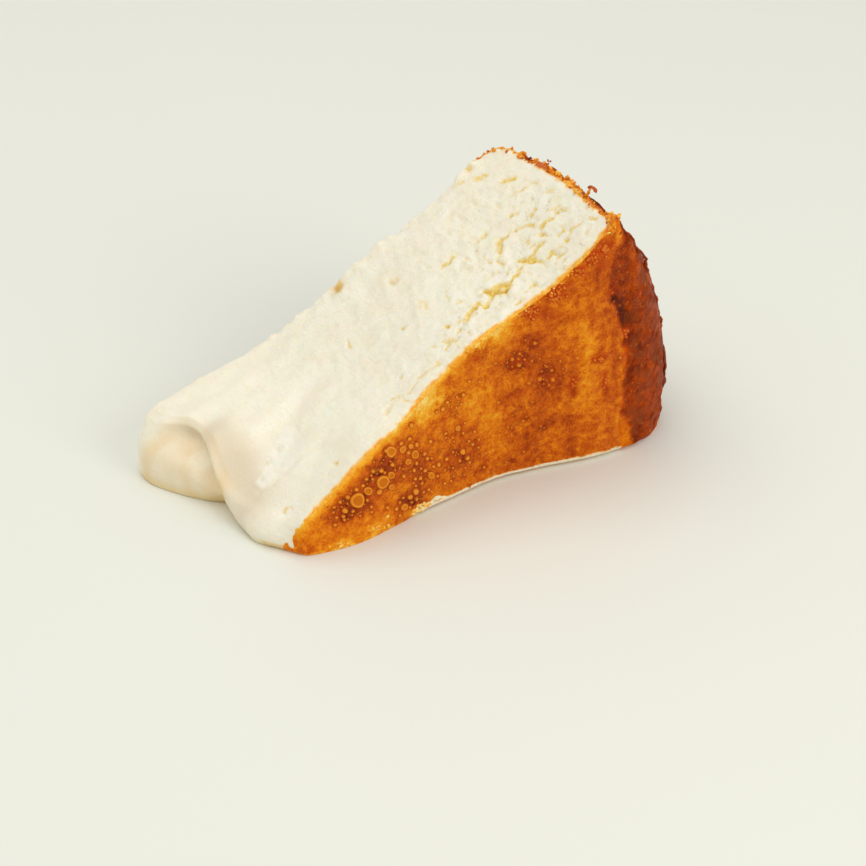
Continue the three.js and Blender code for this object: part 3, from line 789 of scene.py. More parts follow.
def browned_mask(skin):
    """1 where browned skin covers the slice: front, rim and far face, and thin lines on the cut faces."""
    x, y, z = skin.points.T
    flat = skin.points
    ragged = ragged_edge(flat)
    line = 2.1 + 0.5 * ease(x, 22, 34) * (1 - ease(x, 40, 60))
    wavy = ragged + 0.9 * noise(flat, 4.5, 103) * ease(x, 46, 60)
    from_front = ease(skin.behind_front + 0.8 * wavy, line, -0.5)
    from_far = ease(skin.before_far + ragged, 1.0, 0.2)
    from_far = from_far * np.where(skin.on_top, ease(x, 70, 78), ease(x, 30, 60))
    on_cut = np.maximum.reduce([from_front * ease(x, -6, -2), rim_line(skin, ragged), from_far])
    browned = np.where(skin.on_cut, on_cut, 1.0)
    corner = 4.0 - 0.56 * z + 1.6 * ragged
    browned = np.where(skin.on_nose, ease(y, corner, corner - 0.9), browned)

    bare = ease(x + 5 * noise(flat, 7, 131) + 2.5 * noise(flat, 2, 132), 15, 3)
    under_edge = ease(skin.below_top + 1.2 * ragged, 3.2, 1.6) * ease(x, 74, 64)
    browned *= 1 - np.maximum(bare, under_edge) * (skin.across == 1)
    island = oval(y + 0.3 * noise(flat, 1, 133), z + 0.4 * noise(flat, 1, 134), (1.3, 2.4, 0.75, 1.2))
    browned *= 1 - ease(island, 0.3, 0.8) * skin.on_nose
    foot_line = ease(z + 0.25 * ragged, 1.8, 1.4) * ease(z, 0.25, 0.6) * ease(x, 24, 32)
    return browned * (1 - 0.92 * (foot_line * (skin.across == 0)))


def base_toast(skin):
    """How dark the base is: patches, darker rings round blisters, fine lines and a pale upper edge."""
    x, _, z = skin.points.T
    flat = skin.points
    near_front = skin.behind_front < 3
    toast = 0.46 + 0.10 * skin.mottle + 0.07 * rough(flat, 3.2, 111)
    bent_x, bent_z = wandered(flat, FRONT_VIEW, 1.4, 4, 112)
    for patch in PATCHES:
        toast += patch[4] * oval(bent_x, bent_z, patch)
    toast += 0.08 * noise(flat, (1.7, 8, 13), 114) * ease(x, 60, 72)
    for bx, bz, radius in blister_places():
        distance = np.hypot(x - bx, z - bz)
        toast += 0.065 * bell(distance - radius - 0.2, 0.5) * near_front
    # the lines' own tone, with painted shade in the sunken ones and painted highlight on the raised ones
    for x0, z0, x1, z1, width, darker, _ in WRINKLES:
        toast += 0.7 * darker * line_mark(flat, x0, z0, x1, z1, width) * near_front
    pale_edge = bell(skin.below_top, 1.7 + 0.8 * noise(flat, 3.5, 115))
    pale_edge *= 1 - 0.8 * unit(red_marks(flat))
    welts = 0.04 * skin.welts() * unit(0.6 + 1.2 * noise(flat, 2.2, 116))
    toast += (-0.28 + 0.24 * ease(x, 52, 62)) * pale_edge + welts
    toast -= 0.05 * bell(skin.below_top - 3, 3) * ease(x, 42, 52) * ease(x, 80, 72)
    toast -= 0.2 * ease(z, 1.1, 0.3) * ease(x, 27, 22) * unit(0.6 + noise(flat, 1.3, 137))
    toast = np.where(skin.on_nose, toast - 0.04, toast)
    return toast + (0.03 * ease(x, 40, 52) + 0.10 * rough(flat, 1.4, 122))


def rim_toast(skin, crease):
    """How dark the rim is: painted shade in its dents and along the crease, painted light on its blisters.
    """
    x, _, z = skin.points.T
    flat = skin.points
    # the relief sets the colour: painted shade in the dents, painted light on the blisters
    relief = 0.09 * np.clip(rind_relief(flat), -1, 1)
    toast = 0.74 + 0.08 * rough(flat, (5, 5, 4), 118) - relief + 0.07 * noise(flat, 1.2, 119)
    toast += 0.12 * unit(noise(flat, 2.4, 135) - 0.2)
    toast -= 0.22 * unit(noise(flat, 1.7, 136) - 0.45)
    toast -= 0.05 * bell(z - 49, 7) * bell(x - 84, 4)
    # painted shade along the crease and in the darker patches below
    toast += 0.18 * crease
    for spot in RIM_CREASE_SHADE:
        toast += spot[4] * oval(x, z, spot)
    return np.minimum(toast, 0.92)


def toast_mask(skin):
    """How dark the browned skin is, from pale at 0 to burnt at 1."""
    x, _, z = skin.points.T
    flat = skin.points
    around_rim = beyond_fold(x, z, flat)
    turned = np.maximum(around_rim, ease(skin.behind_front, 2, 7))
    around_rim = np.where(skin.out == 1, turned, around_rim) * (1 - 0.8 * skin.side_weight(UPPER, 0.5))
    # painted shade along the crease, on the base and the rim
    crease = crease_mark(flat) * unit(0.55 + 0.9 * noise(flat, 2.4, 138))
    toast = mix(base_toast(skin) + 0.06 * crease, rim_toast(skin, crease), around_rim)
    burnt = 0.90 + 0.14 * rough(flat, 7, 120) - 0.25 * ease(skin.before_rim, 9, 0) - 0.2 * ease(x, 25, 5)
    toast = np.where(skin.across == 1, burnt, toast)
    from_rim = rim_line(skin, ragged_edge(flat))
    crust = 0.20 + 0.42 * from_rim * unit(0.35 + noise(flat, 1.8, 121))
    return np.clip(np.where(skin.on_cut, crust, toast), 0, 1.1)


def red_mask(skin):
    """1 where the browned skin is reddish: in the welts under the base's upper edge and in the spots."""
    flat = skin.points
    red = 0.5 * skin.welts() * unit(0.1 + 1.3 * noise(flat, 2.0, 139))
    red = np.maximum(red, 1.2 * red_marks(flat)) * (0.9 + 0.6 * noise(flat, 0.9, 147))
    return unit(red) * (flat[:, 1] < 16) * (skin.across < 0.5) * ~skin.on_top


def tint_mask(skin):
    """Yellow in the tears and pits of the cream, and where fat has run along the nose's foot."""
    x, y, z = skin.points.T
    oily = ease(z, 4.5, 0.2) * bell(y - 22, 5) * ease(x, 2, -4)
    oily = np.maximum(oily, 0.6 * ease(z, 3.2, 0) * ease(x, 4, -2))
    return unit(np.maximum(skin.tears + 0.8 * skin.pits, 0.8 * oily))


def stain_mask(skin):
    """The caramel stains on the upper cut face."""
    bent_x, bent_y = wandered(skin.points, GROUND_PLAN, 0.8, 1.4, 123)
    stain = sum(spot[4] * oval(bent_x, bent_y, spot) for spot in STAINS)
    return unit(stain * (0.9 + 0.6 * noise(skin.points, 0.9, 125))) * skin.side_weight(UPPER, 0.5)


def painted_hollow_shade_mask(skin):
    """Painted warm shade in the nose's hollow: under its lip, beside its bulge, and in the corner at its
    foot.
    """
    _, y, z = skin.points.T
    inner = ease(y, 18, 24) * ease(y, 50, 44)
    under_lip = 0.38 * bell(skin.below_top - 4, 4.5) * (0.6 + 0.4 * ease(y, 38, 26))
    beside_bulge = 0.6 * bell(y - 24.5, 3.4) * ease(z, 12, 5)
    streaks = unit(0.3 + noise(skin.points, (4, 2.2, 7), 126))
    streaked = 0.2 + 0.24 * streaks * ease(z, 15, 8) + 0.35 * ease(z, 4, 0)
    hollow = unit(np.maximum(under_lip, beside_bulge) + streaked)
    hollow *= 1 - 0.5 * oval(y, z, (31, 9.5, 4.2, 2.8))
    corner = ease(z, 2.4, 1.2) * ease(y, 8.5, 6.5)
    return np.maximum(inner * hollow, corner) * skin.on_nose


def pool_and_highlight_mask(skin):
    """The pale pool, and painted highlights as crisp pale lines along the hollow's lip and the bulge's edge.
    """
    _, y, z = skin.points.T
    lines = [0.6 * skin.on_nose * bell(path_distance(y, z, line), 0.4) for line in HIGHLIGHT_LINES]
    return np.maximum.reduce([skin.pool, *lines])


def wet_mask(skin):
    """How wet the cream is: most near the tip and in the pool."""
    near_tip = 1 - ease(skin.points[:, 0], 6, 34)
    return unit(near_tip * (0.6 + 0.5 * skin.mottle) + 0.6 * skin.pool)


def foam_mask(skin):
    """Where the base is full of the finest bubbles: in the patches of blisters."""
    x, _, z = skin.points.T
    patches = [min(1, patch[4] / FULL_PATCH) * oval(x, z, patch) for patch in BLISTER_PATCHES]
    return np.maximum.reduce(patches) * skin.on_front


def skin_colours(skin):
    """The masks that the material reads, one value at each vertex."""
    return {
        "browned": browned_mask(skin),
        "toast": toast_mask(skin),
        "red": red_mask(skin),
        "foam": foam_mask(skin),
        "tint": tint_mask(skin),
        "stain": stain_mask(skin),
        # painted warm shade in the nose's hollow
        "nose_hollow_shade": painted_hollow_shade_mask(skin),
        # painted shade on the slope beside the nose's hollow
        "slope_shade": 0.85 * skin.slope() * (1 - 0.9 * skin.pool) * ease(skin.below_top, 5, 2),
        # the pale pool, and the painted highlight lines of the nose
        "pool": pool_and_highlight_mask(skin),
        "wet": wet_mask(skin),
        "crumbly": skin.crumbly,
    }


def blister_places():
    """Where the blisters are: the largest as listed, then seeded small ones that keep off each other."""
    rng = np.random.default_rng(SEED)
    placed = list(BLISTERS)
    for cx, cz, half_x, half_z, count in BLISTER_PATCHES:
        for _ in range(count):
            x, z = cx + half_x * rng.normal(0, 0.55), cz + half_z * rng.normal(0, 0.55)
            radius = 0.20 + 0.24 * rng.random() ** 2
            inside = 1.0 < z < x * tan(CUT_ANGLE) + front_lift(x) - 1.4 and x < 96 - 0.25 * z
            if inside and all(np.hypot(x - a, z - b) > radius + c + 0.12 for a, b, c in placed):
                placed.append((x, z, radius))
    return placed


def atlas(skin):
    """A place in the unit square for each corner of each quad, with the six sides laid out side by side."""
    x, y, z = (skin.points[skin.quads][..., i] for i in range(3))
    up = skin.up[skin.quads]
    arc = up * CUT_ANGLE * CAKE_RADIUS
    beside, above = 125.0, 61.0
    hidden = 0.4  # the lower cut face is laid out smaller
    places = {
        UPPER: (x / cos(CUT_ANGLE) + 20, y + 2),
        LOWER: ((x + 18) * hidden + beside, (y + 5) * hidden + 26),
        TIP: (y + beside + 3, up * 20 + 1),
        FRONT: (x + 40, z + above),
        FAR: (107.0 - x, 70.0 - z + above),
        RIM: (y + 145, arc + above),
    }
    u, v = np.zeros(x.shape), np.zeros(x.shape)
    for side, (pu, pv) in places.items():
        here = skin.sides == side
        u[here], v[here] = pu[here], pv[here]
    return np.stack([u / ATLAS_WIDTH, v / ATLAS_HEIGHT], -1)


# ==== Meshes ====


def place_object(name, data):
    """An object that is linked to the scene."""
    thing = bpy.data.objects.new(name, data)
    bpy.context.scene.collection.objects.link(thing)
    return thing


def make_object(name, points, faces, materials, masks, kinds=None):
    """A smooth mesh object from points in metres, with masks at its vertices and kinds of material."""
    mesh = bpy.data.meshes.new(name)
    mesh.from_pydata(points.tolist(), [], faces.tolist())
    mesh.polygons.foreach_set("use_smooth", np.ones(len(mesh.polygons), bool))
    for mask, values in masks.items():
        attribute = mesh.attributes.new(mask, "FLOAT", "POINT")
        attribute.data.foreach_set("value", np.asarray(values, np.float32))
    for material in materials:
        mesh.materials.append(material)
    if kinds is not None:
        mesh.polygons.foreach_set("material_index", kinds)
    mesh.update()
    return place_object(name, mesh)


def attach(thing):
    """Makes a piece part of the slice."""
    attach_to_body(thing, BODY)


def tube(hub, start, rings, around, last):
    """Triangles of a closed form: a hub, rings of vertices that begin at start, and a last hub."""
    end = start + (rings - 1) * around
    faces = []
    for j in range(around):
        k = (j + 1) % around
        faces += [(hub, start + j, start + k), (last, end + k, end + j)]
        for a in range(start, end, around):
            b = a + around
            faces += [(a + j, b + j, b + k), (a + j, b + k, a + k)]
    return np.array(faces)


def unit_ball(rings, segments):
    """Points and triangles of a ball of radius 1."""
    points = [(0, 0, 1)]
    for i in range(1, rings):
        for j in range(segments):
            a, b = pi * i / rings, 2 * pi * j / segments
            points.append((sin(a) * cos(b), sin(a) * sin(b), cos(a)))
    points.append((0, 0, -1))
    return np.array(points, float), tube(0, 1, rings - 1, segments, len(points) - 1)


def join_lumps(lumps):
    """One set of points, triangles and masks from many lumps of (points, triangles, masks)."""
    points, faces, masks, count = [], [], {}, 0
    for lump_points, lump_faces, lump_masks in lumps:
        points.append(lump_points)
        faces.append(lump_faces + count)
        count += len(lump_points)
        for key, value in lump_masks.items():
            masks.setdefault(key, []).append(np.broadcast_to(value, len(lump_points)))
    masks = {key: np.concatenate(values) for key, values in masks.items()}
    return np.concatenate(points), np.concatenate(faces), masks


def crumb(rng, centre, size):
    """An uneven lump of a size, as points in mm."""
    points, faces = unit_ball(7, 10)
    ragged = 1 + 0.32 * noise(points, 0.8, int(rng.integers(1 << 20))) + 0.10 * noise(points, 0.35, 5)
    axes = np.linalg.qr(rng.normal(size=(3, 3)))[0]
    shape = np.array([1, rng.uniform(0.6, 1), rng.uniform(0.45, 1) * CRUMB_FLATNESS])
    return centre + (points * ragged[:, None] * shape * size) @ axes.T, faces


# ==== Materials ====


class Shader:
    """A small builder of node materials, whose calls add nodes and return an output."""

    def __init__(self, name):
        self.material = bpy.data.materials.new(name)
        self.material.use_nodes = True
        self.nodes = self.material.node_tree.nodes
        self.links = self.material.node_tree.links
        self.nodes.clear()
        self.coordinates = self.nodes.new("ShaderNodeTexCoord").outputs["Object"]

    def put(self, socket, value):
        """Links an output to a socket, or sets the socket to a value."""
        if isinstance(value, bpy.types.NodeSocket):
            self.links.new(value, socket)
        else:
            socket.default_value = value

    def add(self, kind, inputs, **settings):
        """The outputs of a new node with its settings, and its inputs by name or number."""
        node = self.nodes.new(kind)
        for key, value in settings.items():
            setattr(node, key, value)
        for key, value in inputs.items():
            self.put(node.inputs[key], value)
        return node.outputs

    def mask(self, name):
        """A mask of the mesh's vertices."""
        return self.add("ShaderNodeAttribute", {}, attribute_name=name)["Fac"]

    def mapped(self, size, stretch=(1, 1, 1), turn=0):
        """The object's coordinates in steps of a size in mm, turned about Z."""
        scale = tuple(1 / (size * MM * s) for s in stretch)
        inputs = {"Vector": self.coordinates, "Rotation": (0, 0, turn), "Scale": scale}
        return self.add("ShaderNodeMapping", inputs)["Vector"]

    def pores(self, size, radius, sparseness):
        """Round spots in cells of a size in mm, in as few of the cells as sparseness leaves."""
        cells = self.add("ShaderNodeTexVoronoi", {"Vector": self.mapped(size), "Scale": 1.0})
        chosen = self.add("ShaderNodeSeparateColor", {"Color": cells["Color"]})
        reach = self.span(chosen["Green"], 0, 1, radius * 0.5, radius)
        spot = self.span(self.math("DIVIDE", cells["Distance"], reach), 0.5, 1.0, 1.0, 0.0)
        return self.times(spot, self.span(chosen["Red"], sparseness - 0.05, sparseness + 0.05))

    def cracks(self, size, width, bend):
        """Thin lines between lumps of a size in mm, bent by noise."""
        wander = self.add("ShaderNodeTexNoise", {"Vector": self.mapped(size * 0.7), "Scale": 1.0})
        bent = {0: wander["Color"], 1: (bend, bend, bend), 2: self.mapped(size)}
        moved = self.add("ShaderNodeVectorMath", bent, operation="MULTIPLY_ADD")
        cells = {"Vector": moved["Vector"], "Scale": 1.0}
        lines = self.add("ShaderNodeTexVoronoi", cells, feature="DISTANCE_TO_EDGE")
        return self.span(lines["Distance"], 0.0, width, 1.0, 0.0)

    def noise(self, size, detail=3.0, roughness=0.55, stretch=(1, 1, 1), turn=0.0, distortion=0.0):
        """Noise with lumps of a size in mm."""
        inputs = {"Vector": self.mapped(size, stretch, turn), "Scale": 1.0, "Detail": detail}
        inputs |= {"Roughness": roughness, "Distortion": distortion}
        return self.add("ShaderNodeTexNoise", inputs)["Fac"]

    def math(self, operation, a, b=0.0):
        """A number worked out from one or two others."""
        return self.add("ShaderNodeMath", {0: a, 1: b}, operation=operation)[0]

    def times(self, a, b):
        """The product of two numbers."""
        return self.math("MULTIPLY", a, b)

    def plus(self, a, b):
        """The sum of two numbers."""
        return self.math("ADD", a, b)

    def minus(self, a, b):
        """The difference of two numbers."""
        return self.math("SUBTRACT", a, b)

    def span(self, value, low, high, to_low=0.0, to_high=1.0):
        """A value taken from one span to another, smoothly and clamped."""
        inputs = {"Value": value, "From Min": low, "From Max": high, "To Min": to_low, "To Max": to_high}
        return self.add("ShaderNodeMapRange", inputs, interpolation_type="SMOOTHSTEP")["Result"]

    def ramp(self, value, stops):
        """A colour for a number, from stops of (number, colour)."""
        node = self.nodes.new("ShaderNodeValToRGB")
        elements = node.color_ramp.elements
        while len(elements) < len(stops):
            elements.new(0.5)
        for element, (place, colour) in zip(elements, stops):
            element.position = place
            element.color = colour
        self.put(node.inputs["Fac"], value)
        return node.outputs["Color"]

    def choose(self, share, a, b):
        """A number between a and b."""
        return self.add("ShaderNodeMix", {"Factor": share, 2: a, 3: b})[0]

    def blend(self, share, a, b):
        """A colour between a and b."""
        return self.add("ShaderNodeMix", {"Factor": share, 6: a, 7: b}, data_type="RGBA")[2]

    def layered(self, colour, layers):
        """A colour with layers of (share, colour) over it, one after the other."""
        for share, layer in layers:
            colour = self.blend(share, colour, layer)
        return colour

    def bump(self, height, distance):
        """The normals of a relief, whose height of 1 is a distance in mm."""
        inputs = {"Strength": 1.0, "Distance": distance * MM, "Height": height}
        return self.add("ShaderNodeBump", inputs)["Normal"]

    def finish(self, **sockets):
        """The surface: sockets are named as on the shader, with _ for a space."""
        inputs = {name.replace("_", " "): value for name, value in sockets.items()}
        surface = self.add("ShaderNodeBsdfPrincipled", inputs)
        self.add("ShaderNodeOutputMaterial", {"Surface": surface["BSDF"]})
        return self.material


class CakeShader(Shader):
    """A shader with the patterns that the cream and its browned skin share."""

    def __init__(self, name):
        super().__init__(name)
        self.fine, self.medium = self.noise(0.45, 2), self.noise(1.5, 4, 0.6)
        self.specks, self.lumps = self.minus(self.fine, 0.5), self.minus(self.medium, 0.5)
        self.wet, self.crumbly, self.foam = self.mask("wet"), self.mask("crumbly"), self.mask("foam")
        self.pits = self.times(self.pores(1.6, 0.42, 0.55), self.crumbly)
        self.bubbles = self.times(self.pores(0.85, 0.4, 0.25), self.foam)
        self.streaks = self.noise(0.9, 4, 0.65, stretch=(1, 4, 1), turn=radians(-21), distortion=0.9)
        cobbles = self.times(self.cracks(2.6, 0.22, 1.2), self.span(self.noise(2.4, 2), 0.48, 0.62))
        self.cobbles = self.times(cobbles, self.span(self.crumbly, 0.0, 0.8, 0.15, 1.0))

    def yellow(self):
        """How yellow the cream is: in its tears, pits and specks."""
        tint = self.times(self.mask("tint"), self.span(self.noise(0.8, 2), 0.36, 0.62, 0.78, 1.2))
        tint = self.math("MAXIMUM", tint, self.times(self.pits, 0.4))
        return self.plus(tint, self.times(self.specks, 0.45))

    def cream(self):
        """The colour of the cut faces and the nose."""
        large = self.noise(9, 3)
        rosy = self.noise(5.3, 3, stretch=(1, 2.2, 1), turn=radians(-14))
        greenish = self.noise(6.9, 3, stretch=(1, 2.4, 1), turn=radians(-14))
        calm = self.span(self.wet, 0.2, 0.9, 1.0, 0.5)
        blotches = self.times(self.span(self.medium, 0.5, 0.72), self.span(self.wet, 0.0, 0.6, 0.6, 0.12))
        # painted highlights: small bright wet spots, fewer where the cream is crumbly
        painted_wet_highlights = self.span(self.noise(1.15, 2), 0.66, 0.72)
        streak = self.span(self.math("ABSOLUTE", self.minus(self.streaks, 0.5)), 0.0, 0.05, 1.0, 0.0)
        streak = self.times(streak, self.span(self.noise(6, 2), 0.4, 0.6))
        pool = self.times(self.mask("pool"), self.span(self.medium, 0.3, 0.62, 0.62, 0.26))
        yellow = self.yellow()
        return self.layered(srgb(248, 241, 220), [
            (self.span(large, 0.35, 0.65), srgb(244, 235, 211)),
            (self.times(self.span(rosy, 0.48, 0.66, 0.0, 0.45), calm), srgb(250, 239, 222)),
            (self.times(self.span(greenish, 0.5, 0.68, 0.0, 0.45), calm), srgb(242, 242, 222)),
            (blotches, srgb(236, 228, 201)),
            (self.times(self.cobbles, 0.35), srgb(236, 220, 160)),
            # painted wet highlights
            (self.times(painted_wet_highlights, self.span(self.crumbly, 0.0, 1.0, 0.5, 0.1)), srgb(255, 254, 246)),
            (self.times(streak, 0.45), srgb(255, 250, 236)),
            (self.times(self.span(self.streaks, 0.46, 0.32), 0.35), srgb(235, 227, 203)),
            # the pale pool, with the painted highlight lines of the nose
            (pool, srgb(246, 241, 229)),
            (self.span(yellow, 0.12, 0.85), srgb(242, 209, 104)),
            (self.span(yellow, 0.75, 1.25, 0.0, 0.8), srgb(214, 160, 52)),
            (self.mask("stain"), srgb(214, 172, 90)),
            # painted shade on the slope beside the nose's hollow
            (self.span(self.mask("slope_shade"), 0, 1), srgb(227, 212, 184)),
            # painted warm shade in the nose's hollow
            (self.span(self.mask("nose_hollow_shade"), 0, 1, 0, 0.9), srgb(236, 204, 147)),
        ])

    def browned(self, highlight_colour, mauve):
        """The colour of the browned skin, with painted highlights of a colour, and dull mauve patches of a
        strength.
        """
        red = self.mask("red")
        outline = self.times(self.pores(0.85, 0.62, 0.25), self.foam)
        toast = self.plus(self.mask("toast"), self.times(self.lumps, 0.52 - 0.48 * mauve))
        toast = self.plus(toast, self.times(self.specks, 0.36 - 0.2 * mauve))
        toast = self.plus(toast, self.times(outline, 0.08))
        # painted highlights: small light spots, more of them on the red bumps
        painted_highlights = self.span(self.noise(0.9, 2), 0.62, 0.7, 0.0, 0.35 + 0.3 * mauve)
        red_painted_highlights = self.times(self.span(self.noise(1.0, 2), 0.6, 0.68), self.span(red, 0.1, 0.6, 0.0, 0.8))
        return self.layered(self.ramp(toast, TOAST_STOPS), [
            (self.times(self.bubbles, 0.4), srgb(232, 148, 56)),
            (red, srgb(192, 62, 2)),
            (self.math("MAXIMUM", painted_highlights, red_painted_highlights), highlight_colour),
            (self.span(self.noise(4.2, 3), 0.46, 0.64, 0.0, mauve), srgb(134, 64, 24)),
        ])

    def grain(self):
        """The finest relief: grain and streaks, calm where it's wet, with bubbles, pits and cracks."""
        height = self.plus(self.fine, self.times(self.medium, 0.8))
        height = self.times(height, self.span(self.wet, 0, 0.7, 1.0, 0.12))
        height = self.plus(height, self.times(self.bubbles, 0.8))
        height = self.plus(height, self.times(self.streaks, 0.5))
        return self.minus(self.minus(height, self.pits), self.times(self.cobbles, 0.45))


TOAST_STOPS = [
    (0.0, srgb(255, 223, 126)), (0.16, srgb(252, 184, 46)), (0.36, srgb(236, 136, 10)),
    (0.52, srgb(208, 96, 3)), (0.68, srgb(170, 64, 3)), (0.84, srgb(116, 36, 5)), (1.0, srgb(52, 18, 7)),
]
# Tones of a blister: the dark outline at 0, the painted highlight of a dome and the pale ring of a sunken
# one near 0.6, its middle at 1
BLISTER_STOPS = [
    (0.0, srgb(164, 68, 2)), (0.3, srgb(204, 106, 6)), (0.6, srgb(234, 152, 42)),
    (0.8, srgb(212, 118, 12)), (1.0, srgb(196, 102, 4)),
]


def cheesecake_material(name, specular, coat, flesh, highlight_colour=srgb(238, 148, 54), mauve=0.0, grainy=0.17):
    """The cream and its browned skin in one pattern.

    flesh is how far light gets into it, mauve how dull it has browned, and grainy its grain's height in mm.
    The colour argument is that of the painted highlights on the browned skin.
    """
    s = CakeShader(name)
    browned = s.plus(s.mask("browned"), s.times(s.lumps, 0.6))
    seam = s.span(browned, 0.03, 0.68)
    edge = s.blend(s.span(browned, 0.2, 0.82), srgb(254, 206, 98), s.browned(highlight_colour, mauve))
    wet_shine = s.span(s.wet, 0.0, 1.0, 0.5, 0.26)
    return s.finish(
        Base_Color=s.blend(seam, s.cream(), edge),
        Roughness=s.choose(seam, wet_shine, s.span(s.medium, 0.3, 0.7, 0.3, 0.52)),
        Normal=s.bump(s.grain(), grainy),
        Specular_IOR_Level=specular,
        Coat_Weight=coat,
        Coat_Roughness=0.22,
        Subsurface_Weight=flesh,
        Subsurface_Radius=(1.0, 0.72, 0.42),
        Subsurface_Scale=2.2 * MM,
    )


def blister_material():
    """Blisters and bumps, each with a painted highlight in its tone: darker past the fold, red where they
    are reddish.
    """
    s = Shader("blisters")
    # level is each dome's tone with its painted highlight; the red is weaker on that highlight
    level = s.plus(s.mask("level"), s.times(s.minus(s.noise(0.5, 2), 0.5), 0.25))
    tone = s.layered(s.ramp(level, BLISTER_STOPS), [
        (s.times(s.mask("dark"), 0.8), srgb(150, 66, 20)),
        (s.times(s.mask("red"), s.span(level, 0.5, 0.68, 0.95, 0.45)), srgb(188, 54, 4)),
    ])
    return s.finish(Base_Color=tone, Roughness=0.38, Specular_IOR_Level=0.1)


def crumb_material():
    """Crumbs, from cream to burnt."""
    s = Shader("crumbs")
    fine = s.noise(0.45, 3)
    toast = s.plus(s.mask("toast"), s.times(s.minus(fine, 0.5), 0.4))
    stops = [(0.0, srgb(243, 232, 200))] + [(0.1 + 0.9 * place, colour) for place, colour in TOAST_STOPS]
    return s.finish(
        Base_Color=s.ramp(toast, stops), Roughness=0.42, Normal=s.bump(fine, 0.12), Specular_IOR_Level=0.2,
    )


def floor_material():
    """The pale ground."""
    s = Shader("floor")
    tone = s.blend(s.noise(160, 2), srgb(235, 236, 226), srgb(233, 234, 223))
    return s.finish(Base_Color=tone, Roughness=0.55, Specular_IOR_Level=0.3)


# ==== Pieces ====


def material_kinds(skin):
    """The number of each quad's material: 0 cream, 1 browned base, 2 browned rim, 3 burnt top."""
    kinds = np.isin(skin.sides, (FRONT, FAR, RIM)).astype(int)
    kinds += np.isin(skin.sides, (FAR, RIM)).astype(int) + (skin.sides == FAR)
    folded_over = (skin.sides == TIP) & (skin.points[skin.quads[:, 0], 1] < 4)
    kinds[folded_over] = 1
    return kinds


def add_slice(skin, offset):
    """The slice's body."""
    # colours of the painted highlights on the rim and on the burnt top
    rim_highlight_colour, top_highlight_colour = srgb(206, 122, 54), srgb(132, 62, 26)
    materials = [
        cheesecake_material("cream", 0.4, 0.0, 0.35),
        cheesecake_material("browned_base", 0.08, 0.04, 0.03, grainy=0.42),
        cheesecake_material("browned_rind", 0.05, 0.0, 0.0, highlight_colour=rim_highlight_colour, mauve=0.5, grainy=0.24),
        cheesecake_material("burnt_top", 0.12, 0.0, 0.0, highlight_colour=top_highlight_colour, mauve=0.25, grainy=0.2),
    ]
    points = (skin.points + offset) * MM
    kinds = material_kinds(skin)
    thing = make_object("slice_body", points, skin.quads, materials, skin_colours(skin), kinds)
    layer = thing.data.uv_layers.new(name="OFBake")
    layer.uv.foreach_set("vector", atlas(skin).astype(np.float32).ravel())
    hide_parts(NODE)
    attach(thing)


def surface_of(skin):
    """A tree for finding places on the slice's skin, in mm."""
    return BVHTree.FromPolygons(skin.points.tolist(), skin.quads.tolist())


def front_depth(tree, x, z):
    """How far back the front face or the rim lies behind a point of the picture plane."""
    hit = tree.ray_cast(Vector((x, IN_FRONT, z)), Vector((0, 1, 0)))
    return hit[0].y if hit[0] else None


def blister_profile(share, angle, height, sunk):
    """Lift over the skin and tone at a share of the way out from a blister's middle; the tone holds a
    painted highlight on the dome's lower side.
    """
    dome = max(1 - share**2, 0) ** 0.5
    ring = bell(share - 0.79, 0.13)
    lift = 0.05 + height * mix(dome, 0.2 * dome + 0.9 * ring, sunk) if share <= 1 else -0.05
    # lit: the painted highlight, palest a little below the dome's middle
    lit = np.hypot(share * cos(angle), share * sin(angle) + 0.18)
    tone = mix(0.64 * (1 - min(lit, 1) ** 3), 1.0 - 0.42 * ring, sunk) if share < 0.95 else 0
    return lift, tone


def blister(tree, x, z, radius, rng, red=0.0):
    """A low dome on the front face, in a dark outline.

    A large one has sunk in the middle and left a ring. A red one is a rounder bump, red round its painted
    highlight, which stays paler.
    """
    rings, around = (13, 24) if radius > 0.6 else (5, 12)
    faint = 0.0 if red else max(float(ease(x, 44, 56)) * 0.6, rng.uniform(0, 0.3))
    sunk = float(ease(radius, 0.6, 1.05)) * (1 - red)
    height = (0.09 + 0.14 * radius) * (1 - 0.5 * faint) + 0.15 * red * radius
    oval_share = rng.uniform(0.9, 1.08)
    shares = [i / (rings - 1) for i in range(rings)] + [1 + min(0.26, 0.4 * radius) / radius]
    points, levels = [], []
    for i, share in enumerate(shares):
        for j in range(around if i else 1):
            angle = 2 * pi * j / around
            reach = radius * share * (1 + 0.06 * sin(2 * angle + x) + 0.04 * sin(3 * angle + z))
            px = x + reach * cos(angle)
            pz = z + reach * (oval_share * sin(angle) - LEAN * cos(angle))
            depth = front_depth(tree, px, pz)
            if depth is None:
                return None
            lift, tone = blister_profile(share, angle, height, sunk)
            points.append((px, depth - lift, pz))
            levels.append(mix(tone, 0.36, faint))
    faces = tube(0, 1, rings, around, len(points))
    points.append((x, points[0][1] + 0.6, z))
    levels.append(0.3)
    masks = {
        "level": unit(levels),
        "dark": ease(np.array(x), 82, 86) * (1 - red),
        "red": np.array(red),
    }
    return np.array(points), faces, masks


def red_bumps(tree, rng):
    """Small bumps crowded together in each large reddish spot, below the base's upper edge."""
    lumps = []
    for x, z, half_x, half_z, strength in RED_SPOTS:
        count = round(5 * strength**3 * half_x * half_z)
        if count < FEWEST_BUMPS:
            continue
        for _ in range(count):
            place_x, place_z = x + half_x * rng.normal(0, 0.45), z + half_z * rng.normal(0, 0.45)
            radius, red = rng.uniform(0.25, 0.62), rng.uniform(0.5, 0.9)
            if place_z + radius + 0.3 < place_x * tan(CUT_ANGLE) + front_lift(place_x):
                lumps.append(blister(tree, place_x, place_z, radius, rng, red))
    return lumps


